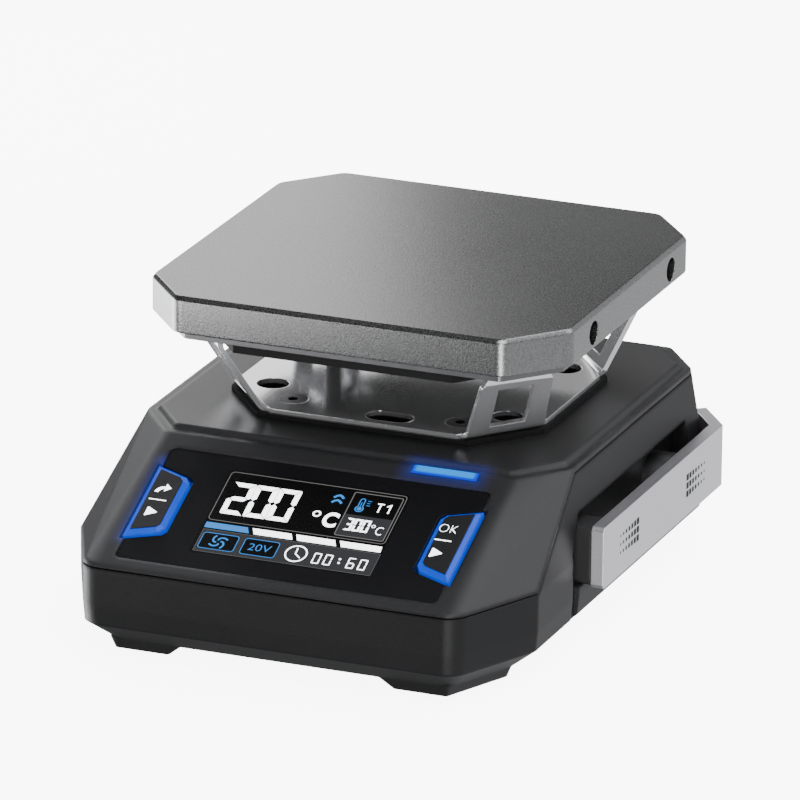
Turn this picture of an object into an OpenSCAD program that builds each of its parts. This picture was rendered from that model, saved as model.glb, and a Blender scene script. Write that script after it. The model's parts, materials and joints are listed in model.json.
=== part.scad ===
// Desktop heating platform: an octagonal hot plate on a folded steel bracket,
// over a wedge-shaped control case. Millimetres, +Z up, -Y towards the user.
// Origin: on the surface it stands on, under the middle of the whole device.

/* [Hot plate] */
// Width of the hot plate
plate_w = 70; // [60:1:76]
// Depth of the hot plate
plate_d = 70; // [60:1:76]
// Thickness of the hot plate
plate_t = 6; // [4:0.5:8]
// Corner cut of the plate along its width
plate_cut_x = 7.8; // [5:0.2:10]
// Corner cut of the plate along its depth
plate_cut_y = 9.4; // [5:0.2:12]
// Rounding of the plate's upright edges
plate_edge_r = 1.2; // [0.6:0.1:2]
// Small bevel round the top face
plate_bevel = 0.45; // [0.2:0.05:0.8]
// Diameter of the two clamp holes in the plate's side
side_hole_d = 3.8; // [2.5:0.1:4.2]
// Metal left between a clamp hole's end and the plate's screw
side_hole_wall = 2; // [1:0.1:4]
// Distance between the clamp holes
side_hole_pitch = 34.3; // [20:0.1:44]
// How far their middle lies behind the plate's
side_hole_back = 1; // [0:0.1:3]
// Height of their centres above the plate's underside
side_hole_z = 2.6; // [2.4:0.1:3.4]
// Thickness of the heating film under the plate
film_t = 0.5; // [0.3:0.1:1]
// Distance of the film's edge from the plate's
film_in = 2.2; // [1.2:0.1:4]
// Thickness of the steel clamp plate under the film
clamp_t = 0.8; // [0.5:0.1:1.5]
// Distance of the clamp plate's edge from the hot plate's
clamp_in = 1.7; // [0.6:0.1:3]
// Thickness of the insulation board under the clamp plate
insulation_t = 1.4; // [1:0.1:1.8]
// Distance of the insulation board's sides from the plate's
insulation_side = 9; // [3:0.1:12]
// Distance of the insulation board's front and back from the plate's
insulation_end = 2.2; // [2:0.1:6]
// Diameter of the temperature probe
probe_d = 2.4; // [1.6:0.1:3]

/* [Bracket] */
// Width of the bracket's base
base_w = 51.6; // [46:0.2:56]
// Depth of the bracket's base
base_d = 48; // [44:0.2:52]
// Corner cut of the base along its width, where an arm folds up
base_cut_x = 8.7; // [7:0.1:10]
// Corner cut of the base along its depth
base_cut_y = 10.7; // [9:0.1:13]
// Thickness of the sheet
sheet_t = 0.8; // [0.6:0.1:1.5]
// Inner radius of the folds
fold_r = 1.2; // [0.5:0.1:1.5]
// Angle of the arms from level
arm_deg = 57; // [54:1:72]
// Straight length of an arm between its folds
arm_len = 11.5; // [9:0.1:14]
// How far the top of an arm is set along its fold, towards the front or the back
arm_lean = 1.7; // [0:0.1:2.5]
// How much narrower an arm is at its top, on each side
arm_taper = 0.6; // [0:0.1:2]
// Width of the window in an arm
window_w = 6.4; // [4:0.1:8]
// Distance from the lower fold to the window
window_low = 1.3; // [1:0.1:3]
// Distance from the window to the upper fold
window_high = 1; // [1:0.1:3]
// Length of the flange that carries the plate
flange_len = 6.8; // [6:0.1:9]
// Width of the flange
flange_w = 9.2; // [7:0.1:10]
// Diameter of the large holes in the base
base_hole_d = 5.1; // [3:0.1:6]
// Distance of a large hole from the base's side
base_hole_side = 6.1; // [5:0.1:8]
// Distance of a large hole from the base's front or back
base_hole_end = 11.3; // [10:0.1:14]
// Distance of a base screw from the base's side
base_screw_side = 11.8; // [10.5:0.1:14]
// Distance of a base screw from the base's front or back
base_screw_end = 5.7; // [4.5:0.1:7]
// Length of the oval slot at the front of the base
slot_len = 7.8; // [6:0.1:12]
// Width of the oval slot
slot_w = 4.6; // [2:0.1:5]
// Distance of the oval slot from the base's front
slot_end = 3.7; // [3.4:0.1:5]
// Distance of the oval slot to the right of the middle
slot_side = 3; // [0:0.5:4]
// Height of the insulating pedestal under the base
pedestal_h = 0.8; // [0.5:0.1:3]
// How far the pedestal stands out round the base
pedestal_rim = 0.5; // [0.2:0.1:1.5]

/* [Case] */
// Width of the case at its widest
case_w = 76; // [72:0.5:84]
// Distance from the plate's middle to the front of the case
case_front = 62.5; // [58:0.5:68]
// Distance from the plate's middle to the back of the case
case_back = 38.1; // [37:0.1:42]
// Front corner cut of the case along its width
case_cut_x = 7.4; // [6:0.1:9]
// Front corner cut of the case along its depth
case_cut_y = 16.2; // [13:0.2:18]
// Height of the seam round the front
seam_z = 15.1; // [13.5:0.1:16]
// Height where the front wall starts to lean in
draft_z = 8.8; // [7.5:0.1:10]
// Height where the bottom bevel starts
bevel_z = 5.6; // [5:0.1:6.4]
// Width of the bottom bevel
bevel_in = 4.5; // [3:0.1:5.5]
// Height of the case's underside
under_z = 2.3; // [2:0.1:3]
// Width of the flat top, at its outer ledge
top_w = 71.2; // [68:0.2:72]
// Distance from the plate's middle to the front of the ledge
top_front = 34.1; // [32:0.1:36]
// Distance from the plate's middle to the back of the ledge
top_back = 35.7; // [34:0.1:36.6]
// Corner cut of the ledge along its width
top_cut_x = 6.6; // [5:0.1:8]
// Corner cut of the ledge along its depth
top_cut_y = 8.6; // [7:0.1:10]
// Height of the ledge
ledge_z = 28.2; // [26.5:0.1:30]
// Width of the ledge round the raised panel
ledge_w = 2; // [1:0.1:3]
// Height and slope width of the raised panel's bevel
panel_rise = 0.75; // [0.3:0.05:1.2]
// Wall of the case
wall = 2; // [1.6:0.1:2.4]
// Wall of the cover under the sloping front
slope_wall = 2.4; // [2.2:0.1:3]
// Thickness of the cover's flat top
top_wall = 2.2; // [1.8:0.1:3]
// Gap at the seam between cover and case
seam_gap = 0.25; // [0.1:0.05:0.4]
// Radius of the broad rounded edges beside the sloping front
front_edge_r = 4; // [2:0.1:5]
// Radius of the other upright edges
side_edge_r = 1.6; // [1:0.1:3]
// Height of the rubber pads below the feet
pad_h = 0.4; // [0.2:0.1:1]
// Diameter of a case screw's thread
case_screw_d = 2.6; // [2:0.1:3]

/* [Front panel] */
// Width of the glass
glass_w = 53; // [50:0.5:54]
// Thickness of the glass
glass_t = 1; // [0.7:0.1:1.2]
// How far the glass lies below the frame
glass_sink = 0.15; // [0.05:0.05:0.3]
// Frame above the glass
frame_top = 3.3; // [2.8:0.1:4]
// Frame below the glass
frame_low = 2.9; // [2.5:0.1:4]
// Width of a key
key_w = 6.1; // [5:0.1:6.4]
// Length of a key at its outer side
key_long = 16; // [14:0.2:17]
// Length of a key at its inner side
key_short = 12; // [10:0.2:12.6]
// How far a key stands up from the glass frame
key_rise = 0.7; // [0.4:0.1:1.2]
// Width of a key's sloping rim
key_rim = 0.9; // [0.6:0.1:1.2]
// Gap round a key
key_gap = 0.45; // [0.4:0.05:0.6]
// Diameter of a key's pivot pin
pin_d = 1.2; // [1:0.1:1.6]
// Radial clearance of the pin in a key
pin_play = 0.05; // [0.02:0.01:0.08]
// Depth of the pivot below the frame
pin_depth = 3.9; // [3.6:0.1:4.4]
// Width of the display module
display_w = 33; // [30:0.5:34]
// Length of the display module down the slope
display_h = 20; // [17:0.5:21]
// Thickness of the display module
display_t = 2.4; // [2:0.1:2.6]
// Length of the light bar
light_len = 10.7; // [8:0.1:14]
// Distance from the middle to the light bar's centre
light_x = 17.9; // [12:0.1:19]

/* [Side bar] */
// Thickness of the aluminium bar
bar_t = 2.05; // [1.6:0.05:3]
// Height of the bar
bar_h = 10; // [8:0.1:10.4]
// Height of the bar's lower edge
bar_z = 9.9; // [9.6:0.1:10.6]
// Distance from the plate's middle to the bar's front end
bar_front = 27.6; // [24:0.1:30]
// Gap between the bar and the case side
bar_gap = 1.45; // [1:0.05:2]
// Gap between the bar's end and the case's rear corner face
bar_seat = 0.05; // [0.02:0.01:0.1]
// Length of the bar's turned end along the corner face
bar_end = 8.8; // [7:0.1:10]
// Rounding of the bar's face corners
bar_corner_r = 0.8; // [0.4:0.1:1.5]
// Depth of the recess behind the bar
recess_depth = 3.1; // [2.4:0.1:3.4]
// Front end of the recess, from the plate's middle
recess_front = 31.3; // [29:0.1:33]
// Back end of the recess, from the plate's middle
recess_back = 21; // [16:0.5:23]
// Height of the recess's lower edge
recess_low = 10.2; // [9:0.1:11]
// Height of the recess's upper edge
recess_high = 21.6; // [20:0.1:23]
// Width of the groove that runs down from the recess's front end
groove_w = 2.6; // [1.5:0.1:4]
// Depth of that groove
groove_depth = 0.8; // [0.4:0.1:1.2]
// Length of the spacer block under the bar's front end
block_len = 5; // [4:0.1:7]
// Diameter of the middle post
post_d = 9; // [4:0.1:9.6]

/* [Inside] */
// Width of the fan
fan_w = 30; // [28:1:32]
// Height of the fan
fan_h = 8; // [7:0.5:9]
// Gap between the fan and the control board
fan_gap = 4; // [1:0.5:6]
// Diameter of the fan's hub
hub_d = 14; // [11:0.5:15]
// Number of fan blades
blades = 7; // [5:1:9]
// Gap between blade tips and fan frame
tip_gap = 0.5; // [0.3:0.1:1]
// Diameter of the fan's shaft
shaft_d = 2; // [1.5:0.1:3]
// Radial clearance of the shaft in its bearing
shaft_play = 0.04; // [0.02:0.01:0.08]
// Thickness of the circuit boards
board_t = 1.2; // [0.8:0.1:1.6]
// Width of the power inlet's shell
inlet_w = 8.9; // [8.8:0.05:9.4]
// Height of the power inlet's shell
inlet_h = 3.2; // [3:0.05:3.4]
// Distance of the power inlet from the case's side
inlet_side = 13; // [12.6:0.1:16]
// Height of the control board
control_z = 9; // [8:0.5:11.5]
// Gap between the control board and the case's inside
control_gap = 4; // [3.4:0.1:6]
// Depth of the control board from front to back
control_d = 27; // [22:1:30]
// Width of the board's wing that runs back to the power inlet
wing_w = 15.5; // [13:0.5:16]
// Diameter of the buzzer
buzzer_d = 8.5; // [6:0.5:10]

/* [Hidden] */
$fn = 48;

thin = 0.02;          // thickness of a loft's slices
slack = 0.1;          // clearance of parts that only sit in a pocket
fit = 0.1;            // added to a hole's diameter round a screw's thread
far = 90;             // past every side of the case

// slope of the front and lean of the sides
slope_deg = atan((ledge_z - seam_z) / (case_front - top_front));
slope_len = norm([ledge_z - seam_z, case_front - top_front]);
side_lean = (case_w - top_w) / 2 / (ledge_z - seam_z);
back_lean = (case_back - top_back) / (ledge_z - seam_z);
top_z = ledge_z + panel_rise;
floor_z = under_z + wall;
glass_h = slope_len - frame_top - frame_low;
glass_mid = frame_top + glass_h / 2;

// the back corner cut grows down the case so that its face stays flat
back_cut_y = top_cut_y + case_back - top_back;
back_cut_x = back_cut_y * top_cut_x / top_cut_y;

// stack above the case
base_z = top_z + pedestal_h;
fold_z = base_z + sheet_t + fold_r;
arm_top_z = fold_z + arm_len * sin(arm_deg);
flange_r = 1.2;
clamp_z = arm_top_z + fold_r + sheet_t;
film_z = clamp_z + clamp_t;
plate_z = film_z + film_t;
arm_dir = atan2(base_cut_x, base_cut_y);     // way an arm leans, from +X
arm_w = norm([base_cut_x, base_cut_y]);
arm_mid = [base_w / 2 - base_cut_x / 2, base_d / 2 - base_cut_y / 2];
fold_back = (fold_r + sheet_t) * tan(arm_deg / 2);
arm_reach = arm_len * cos(arm_deg) - fold_back;    // upper fold's centre, from the corner face
screw_in = flange_len / 2;                         // plate screw, inwards from the upper fold
plate_screw_d = 3;
probe_at = [9, -12];
base_hole_at = [base_w / 2 - base_hole_side, base_d / 2 - base_hole_end];
lead_at = [-base_hole_at.x, base_hole_at.y];
lead_d = 1.7;
slot_at = [slot_side, -base_d / 2 + slot_end];
plate_screw_x = arm_mid.x + (arm_reach - screw_in) * cos(arm_dir) - arm_lean * sin(arm_dir);
side_hole_depth = plate_w / 2 - plate_screw_x - plate_screw_d / 2 - side_hole_wall;

// bracket screws
bracket_screw_at = [base_w / 2 - base_screw_side, base_d / 2 - base_screw_end];
bracket_screw_d = 2.5;
bracket_head_d = 4.7;
head_depth = 0.9 * sheet_t;      // the flat head stays inside the sheet
bracket_screw_len = 7;

// bar and recess
bar_in = case_w / 2 + bar_gap;
recess_x = case_w / 2 - recess_depth;
bar_screw_y = [-bar_front + 0.5 + block_len / 2, 11];
bar_mid_z = bar_z + bar_h / 2;
bend_r = 2;

// corner screws of the case
front_screw_at = [case_w / 2 - 7.5, -case_front + 21.5];
back_screw_at = [case_w / 2 - 10, case_back - 18.6];
case_screw_at = [for (m = [-1, 1]) for (p = [front_screw_at, back_screw_at]) [m * p.x, p.y]];
boss_d = 6;
case_head_h = 1.3;
boss_z = 8;                    // where the cover's bosses meet the case's
foot_z = pad_h;
foot_in = case_w / 2 - 21.3;   // inner end of a foot

// boards
front_board_n = -8.4;          // outer face of the front board, below the frame
front_board_h = 24.6;          // its lower end, down the slope
thread_len = 4.6;              // how far a case screw reaches into the cover
switch_h = 2.6;
fan_z = floor_z + 1;
board_x = case_w / 2 - wall - control_gap;          // half width of the control board
board_front = -top_front + 3.1;
board_back = board_front + control_d;
fan_y = board_back + fan_gap + fan_w / 2;
inlet_x = -case_w / 2 + inlet_side;
post_in = 2.5;                                      // from a board's edge to its screw
control_posts = [[-board_x + post_in, board_front + post_in], [board_x - post_in, board_front + post_in],
  [board_x - post_in, board_back - post_in], [-board_x + post_in, board_back - post_in]];

function unit(v) = v / norm(v);
// centre of a circle of radius r that rounds corner i of an outline
function round_at(p, i, r) = let(n = len(p), a = unit(p[(i + n - 1) % n] - p[i]),
  b = unit(p[(i + 1) % n] - p[i]), m = unit(a + b)) p[i] + m * r / abs(a.x * m.y - a.y * m.x);
// eight-sided outline from half width, front, back and the two corner cuts
function octagon(hw, front, back, fx, fy, bx, by) = [[-hw + fx, -front], [hw - fx, -front],
  [hw, -front + fy], [hw, back - by], [hw - bx, back], [-hw + bx, back], [-hw, back - by],
  [-hw, -front + fy]];
// the case outline at its widest, drawn in by an inset
function case_outline(inset) = octagon(case_w / 2 - inset, case_front - inset, case_back - inset,
  case_cut_x - inset * 0.4, case_cut_y - inset * 0.8, back_cut_x - inset * 0.5, back_cut_y - inset * 0.6);
function top_outline(inset) = octagon(top_w / 2 - inset, top_front - inset, top_back - inset,
  top_cut_x - inset * 0.45, top_cut_y - inset * 0.6, top_cut_x - inset * 0.45, top_cut_y - inset * 0.6);
// an outline moved out by grow, or in where it is negative
function inset_outline(p, grow) = [for (i = [0:len(p) - 1]) let(n = len(p),
  a = unit(p[i] - p[(i + n - 1) % n]),
  b = unit(p[(i + 1) % n] - p[i]), na = [a.y, -a.x], nb =
    [b.y, -b.x]) p[i] + (na + nb) * grow / (1 + na * nb)];
function edge_radii(front, other) = [front, front, other, other, other, other, other, other];

// one thin slice of a rounded outline, for lofting
module slice(p, radii, z) for (i = [0:len(p) - 1]) {
  c = round_at(p, i, radii[i]);
  translate([c.x, c.y, z]) cylinder(r = radii[i], h = thin, $fn = 32);
}
// a place on the sloping front: x across, y up the slope, z out of it
module on_slope() translate([0, -top_front, ledge_z]) rotate([slope_deg, 0, 0]) children();
// every piece is drawn about the hot plate's middle, then moved so that the whole is centred
module placed() translate([-(bar_in + bar_t - case_w / 2) / 2, (case_front - case_back) / 2, 0]) children();
module both_sides() {
  children();
  mirror([1, 0, 0]) children();
}
module four_corners() both_sides() {
  children();
  mirror([0, 1, 0]) children();
}
module tube(d, bore, h) difference() {
  cylinder(d = d, h = h);
  translate([0, 0, -1]) cylinder(d = bore, h = h + 2);
}

// hot plate and what is clamped under it
module plate_prism(inset, z, h, r) {
  hw = plate_w / 2 - inset;
  hd = plate_d / 2 - inset;
  p = octagon(hw, hd, hd, plate_cut_x - inset * 0.4, plate_cut_y - inset * 0.5,
    plate_cut_x - inset * 0.4, plate_cut_y - inset * 0.5);
  hull() for (i = [0:7]) {
    c = round_at(p, i, r);
    translate([c.x, c.y, z]) cylinder(r = r, h = h, $fn = 32);
  }
}
// children at each plate screw, with z left at zero
module at_plate_screws() four_corners() translate(arm_mid) rotate(arm_dir)
  translate([arm_reach - screw_in, arm_lean, 0]) children();

module heating_plate() color([0.62, 0.62, 0.63]) placed() difference() {
  hull() {
    plate_prism(0, plate_z, plate_t - plate_bevel, plate_edge_r);
    plate_prism(plate_bevel, plate_z, plate_t, plate_edge_r - plate_bevel * 0.4);
  }
  for (s = [-1, 1])
    translate([plate_w / 2 - side_hole_depth, side_hole_back + s * side_hole_pitch / 2,
      plate_z + side_hole_z])
      rotate([0, 90, 0]) cylinder(d = side_hole_d, h = side_hole_depth + 1);
  at_plate_screws() translate([0, 0, plate_z - 1]) cylinder(d = plate_screw_d + fit, h = 1 + plate_t * 0.6);
  translate([probe_at.x, probe_at.y, plate_z - 1]) cylinder(d = probe_d + slack, h = 1 + plate_t * 0.6);
}
module heater_film() color([0.16, 0.11, 0.08]) placed() difference() {
  plate_prism(film_in, film_z, film_t, plate_edge_r);
  at_plate_screws() translate([0, 0, film_z - 1]) cylinder(d = plate_screw_d + 1, h = film_t + 2);
  translate([probe_at.x, probe_at.y, film_z - 1]) cylinder(d = probe_d + 1, h = film_t + 2);
}
module clamp_plate() color([0.55, 0.55, 0.56]) placed() difference() {
  plate_prism(clamp_in, clamp_z, clamp_t, plate_edge_r);
  at_plate_screws() translate([0, 0, clamp_z - 1]) cylinder(d = plate_screw_d + 2 * slack, h = clamp_t + 2);
  translate([probe_at.x, probe_at.y, clamp_z - 1]) cylinder(d = probe_d + slack, h = clamp_t + 2);
  lead_hole(clamp_z - 1, clamp_t + 2);
}
// a cross-shaped board that leaves the flanges free
module insulation_board() color([0.09, 0.09, 0.09]) placed() difference() {
  translate([0, 0, clamp_z - insulation_t]) linear_extrude(insulation_t)
    polygon(octagon(plate_w / 2 - insulation_side, plate_d / 2 - insulation_end,
      plate_d / 2 - insulation_end,
      plate_cut_x, plate_cut_y, plate_cut_x, plate_cut_y));
  four_corners() translate(arm_mid) rotate(arm_dir)
    translate([arm_reach - flange_len - 1, arm_lean - arm_w / 2, clamp_z - insulation_t - 1])
      cube([far, arm_w, insulation_t + 2]);
  translate([probe_at.x, probe_at.y, clamp_z - insulation_t - 1])
    cylinder(d = probe_d + slack, h = insulation_t + 2);
  lead_hole(clamp_z - insulation_t - 1, insulation_t + 2);
}
module lead_hole(z, h) translate([lead_at.x, lead_at.y, z]) cylinder(d = base_hole_d, h = h);
module temperature_probe() color([0.75, 0.75, 0.76]) placed() {
  translate([probe_at.x, probe_at.y, clamp_z - insulation_t - 1.5])
    cylinder(d = probe_d, h = plate_z + plate_t * 0.5 - clamp_z + insulation_t + 1.5);
  translate([probe_at.x, probe_at.y, clamp_z - insulation_t - 1.5]) cylinder(d = probe_d + 1.6, h = 1.5);
}
// two sleeved leads: down from the film's terminals, through the base and into the case
module heater_leads() color([0.85, 0.84, 0.80]) placed() for (s = [-1, 1])
  translate([lead_at.x, lead_at.y + s * (lead_d / 2 + 0.1), control_z + board_t])
    cylinder(d = lead_d, h = film_z - control_z - board_t, $fn = 24);
module lead_grommet() color([0.12, 0.12, 0.12]) placed() translate([lead_at.x, lead_at.y, 0]) difference() {
  union() {
    translate([0, 0, base_z - pedestal_h - 1.4])
      cylinder(d = base_hole_d - slack, h = pedestal_h + sheet_t + 1.6);
    translate([0, 0, base_z + sheet_t]) cylinder(d = base_hole_d + 1.4, h = 0.8);
  }
  for (s = [-1, 1]) translate([0, s * (lead_d / 2 + 0.1), top_z - 9])
    cylinder(d = lead_d + slack, h = 20, $fn = 24);
}

// folded bracket
// an arm's frame: x outwards from the corner face, y along the fold, z up
module fold(turn, width) rotate([90, 0, 0]) translate([0, 0, -width / 2]) rotate(-90) difference() {
  cylinder(r = fold_r + sheet_t, h = width);
  translate([0, 0, -1]) cylinder(r = fold_r, h = width + 2);
  // only the sector from zero to the turn stays
  translate([-far, -far, -1]) cube([2 * far, far, width + 2]);
  rotate(turn) translate([-far, 0, -1]) cube([2 * far, far, width + 2]);
}
module at_lower_fold() translate([-fold_back, 0, fold_z]) children();
// the arm's own plane: x along the fold, y up the arm, z through the sheet
module in_arm_plane() at_lower_fold() rotate([0, 90 - arm_deg, 0]) rotate([90, 0, 90]) children();
// a point x from an arm's middle line, which leans, and y above its foot
function leaning(x, y) = [x + arm_lean * y / arm_len, y];
module bent_arm() {
  at_lower_fold() fold(arm_deg, arm_w);
  in_arm_plane() translate([0, 0, fold_r]) linear_extrude(sheet_t)
    polygon([leaning(-arm_w / 2, 0), leaning(arm_w / 2, 0), leaning(arm_w / 2, arm_len),
      leaning(-arm_w / 2, arm_len)]);
  translate([arm_reach, arm_lean, arm_top_z]) rotate([0, -arm_deg, 0]) fold(180 - arm_deg, arm_w);
  translate([arm_reach, arm_lean, clamp_z - sheet_t]) linear_extrude(sheet_t) {
    translate([-flange_len + flange_r, -flange_w / 2]) square([flange_len - flange_r, flange_w]);
    translate([-flange_len, -flange_w / 2 + flange_r]) square([flange_len, flange_w - 2 * flange_r]);
    for (s = [-1, 1]) translate([-flange_len + flange_r, s * (flange_w / 2 - flange_r)])
      circle(r = flange_r);
  }
}
// what an arm loses: its tapering sides and its window
module arm_trim() in_arm_plane() {
  for (s = [-1, 1]) mirror([s < 0 ? 1 : 0, 0, 0]) translate([0, 0, -12]) linear_extrude(24)
    polygon([[arm_w / 2, 0], [arm_w / 2 - arm_taper + s * arm_lean, arm_len],
      [flange_w / 2 + s * arm_lean, arm_len + 2.6], [flange_w / 2 + s * arm_lean, far / 3],
      [far / 3, far / 3], [far / 3, 0]]);
  top = arm_len - window_high;
  translate([0, 0, fold_r - 1]) linear_extrude(sheet_t + 2)
    polygon([leaning(-window_w / 2, window_low), leaning(window_w / 2, window_low),
      leaning(window_w / 2, top), leaning(-window_w / 2, top)]);
}
module base_outline() polygon(octagon(base_w / 2, base_d / 2, base_d / 2, base_cut_x, base_cut_y,
  base_cut_x, base_cut_y));
module support_bracket() color([0.78, 0.78, 0.79]) placed() difference() {
  union() {
    translate([0, 0, base_z]) linear_extrude(sheet_t) difference() {
      base_outline();
      // the folds start this far inside the corner faces
      four_corners() translate(arm_mid) rotate(arm_dir) translate([-fold_back, -far / 2])
        square([far, far]);
    }
    four_corners() translate(arm_mid) rotate(arm_dir) bent_arm();
  }
  four_corners() {
    translate(arm_mid) rotate(arm_dir) arm_trim();
    translate([base_hole_at.x, base_hole_at.y, base_z - 1]) cylinder(d = base_hole_d, h = sheet_t + 2);
    translate([bracket_screw_at.x, bracket_screw_at.y, base_z])
      countersink(bracket_screw_d + 2 * slack, bracket_head_d + slack);
  }
  at_plate_screws() translate([0, 0, clamp_z - sheet_t - 1])
    cylinder(d = plate_screw_d + 2 * slack, h = sheet_t + 2);
  translate([slot_at.x, slot_at.y, base_z - 1]) linear_extrude(sheet_t + 2) oval(slot_len, slot_w);
}
module oval(length, width) {
  square([length - width, width], center = true);
  for (s = [-1, 1]) translate([s * (length - width) / 2, 0]) circle(d = width);
}
// hole with a conical seat, its mouth at the sheet's top
module countersink(hole, head) {
  translate([0, 0, -1]) cylinder(d = hole, h = sheet_t + 2);
  translate([0, 0, sheet_t - head_depth]) cylinder(d1 = hole, d2 = head, h = head_depth + 0.001);
}
module plate_screws() color([0.7, 0.7, 0.72]) placed() at_plate_screws() {
  translate([0, 0, clamp_z - sheet_t - 2]) difference() {
    cylinder(d = plate_screw_d + 2.5, h = 2);
    translate([0, 0, -1]) cylinder(d = 2.2, h = 2.1, $fn = 6);
  }
  translate([0, 0, clamp_z - sheet_t]) cylinder(d = plate_screw_d,
    h = plate_z + plate_t * 0.45 - clamp_z + sheet_t);
}
module bracket_screws() color([0.45, 0.45, 0.46]) placed() four_corners()
  translate([bracket_screw_at.x, bracket_screw_at.y, base_z + sheet_t]) difference() {
    union() {
      translate([0, 0, -bracket_screw_len]) cylinder(d = bracket_screw_d, h = bracket_screw_len - head_depth);
      translate([0, 0, -head_depth]) cylinder(d1 = bracket_screw_d, d2 = bracket_head_d, h = head_depth);
    }
    translate([0, 0, -0.9]) cylinder(d = 1.8, h = 1, $fn = 6);
  }
module pedestal() color([0.07, 0.07, 0.07]) placed() difference() {
  translate([0, 0, top_z]) linear_extrude(pedestal_h) polygon(octagon(base_w / 2 + pedestal_rim,
    base_d / 2 + pedestal_rim, base_d / 2 + pedestal_rim, base_cut_x, base_cut_y, base_cut_x, base_cut_y));
  four_corners() translate([bracket_screw_at.x, bracket_screw_at.y, top_z - 1])
    cylinder(d = bracket_screw_d + fit, h = pedestal_h + 2);
  four_corners() translate([base_hole_at.x, base_hole_at.y, top_z - 1])
    cylinder(d = base_hole_d, h = pedestal_h + 2);
  translate([slot_at.x, slot_at.y, top_z - 1]) linear_extrude(pedestal_h + 2) oval(slot_len, slot_w);
}

// outer form of the whole case, and the hollow in it
module case_body() hull() {
  slice(top_outline(0), edge_radii(front_edge_r * 0.6, side_edge_r), ledge_z - thin);
  slice(case_outline(0), edge_radii(front_edge_r, side_edge_r), seam_z);
  slice(case_outline(0.05), edge_radii(front_edge_r, side_edge_r), draft_z);
  slice(case_outline(0.35), edge_radii(front_edge_r, side_edge_r), bevel_z);
  slice(case_outline(bevel_in), edge_radii(front_edge_r, side_edge_r), under_z);
}
hollow_shift = slope_wall / sin(slope_deg);
hollow_top = top_z - top_wall;
// where the hollow's sloping roof meets its front wall
hollow_low = ledge_z - (case_front - wall - top_front + hollow_shift) * tan(slope_deg);
roof_outline = octagon(case_w / 2 - wall - side_lean * (hollow_top - seam_z),
  top_front + (ledge_z - hollow_top) / tan(slope_deg) - hollow_shift,
  case_back - wall - back_lean * (hollow_top - seam_z), top_cut_x, top_cut_y, back_cut_x, back_cut_y);
// inside the walls, the roof is the cover's all through
module roof_space(grow) translate([0, 0, hollow_top - 0.5]) linear_extrude(far)
  polygon(inset_outline(roof_outline, grow));
module case_hollow() hull() {
  slice(roof_outline, edge_radii(1, 1), hollow_top);
  slice(case_outline(wall), edge_radii(2, 1), hollow_low);
  slice(case_outline(wall + 0.4), edge_radii(2, 1), bevel_z + 1);
  slice(case_outline(bevel_in + 0.6), edge_radii(2, 1), floor_z);
}
// the space that belongs to the cover, seen from the side
corner_front = -top_front + top_cut_y;
skirt = 0.65;
module cover_space(drop) rotate([90, 0, 90]) translate([0, 0, -far / 2]) linear_extrude(far)
  polygon([[-far, seam_z - drop], [-case_front + case_cut_y, seam_z - drop],
    [corner_front, ledge_z - skirt - drop],
    [far, ledge_z - skirt - drop], [far, far], [-far, far]]);

function key_out() = glass_w / 2 + 0.4;
// a key's outline: long outer side, short inner side with cut corners, grown all round
function key_shape(grow, cut) = let(w = key_w, a = atan((key_long - key_short) / 2 / w),
  xo = key_out() + grow, xi = key_out() - w - grow,
  ho = key_long / 2 + grow / cos(a) + grow * tan(a), hi = key_short / 2 + grow / cos(a) - grow * tan(a))
  [[xo, ho], [xi + cut, hi + cut * tan(a)], [xi, hi - cut], [xi, -hi + cut],
    [xi + cut, -hi - cut * tan(a)], [xo, -ho]];
module at_key() translate([0, -glass_mid, 0]) children();
rib_t = 1.4;
rib_in = key_out() - key_w - key_gap - slack - rib_t;
rib_out = key_out() + key_gap + slack;
pin_len = rib_out + 1.2 - rib_in;

module top_cover() color([0.13, 0.13, 0.135]) placed() difference() {
  union() {
    difference() {
      intersection() {
        case_body();
        union() {
          cover_space(0);
          roof_space(-slack);
        }
      }
      case_hollow();
    }
    hull() {
      slice(top_outline(ledge_w - panel_rise), edge_radii(1.2, 1.2), ledge_z - thin);
      slice(top_outline(ledge_w), edge_radii(1, 1), top_z - thin);
    }
    cover_inside();
  }
  cover_cuts();
}
// ribs for the keys, bosses for boards and screws
module cover_inside() {
  intersection() {
    case_body();
    union() {
      both_sides() on_slope() at_key() for (x = [rib_in, rib_out])
        translate([x, -3.5, -pin_depth - 1.8])
          cube([rib_t, 7, pin_depth + 1.8 - glass_sink - glass_t - 0.5]);
      for (p = case_screw_at) translate([p.x, p.y, boss_z])
        cylinder(d = boss_d, h = roof_z(p.y) - boss_z + 1.2);
      four_corners() translate([bracket_screw_at.x, bracket_screw_at.y, top_z - 6])
        cylinder(d = 5.4, h = 6 - 1);
      on_slope() at_front_screws() translate([0, 0, front_board_n])
        cylinder(d = 3.6, h = -front_board_n - slope_wall + 0.5);
    }
  }
}
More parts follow.
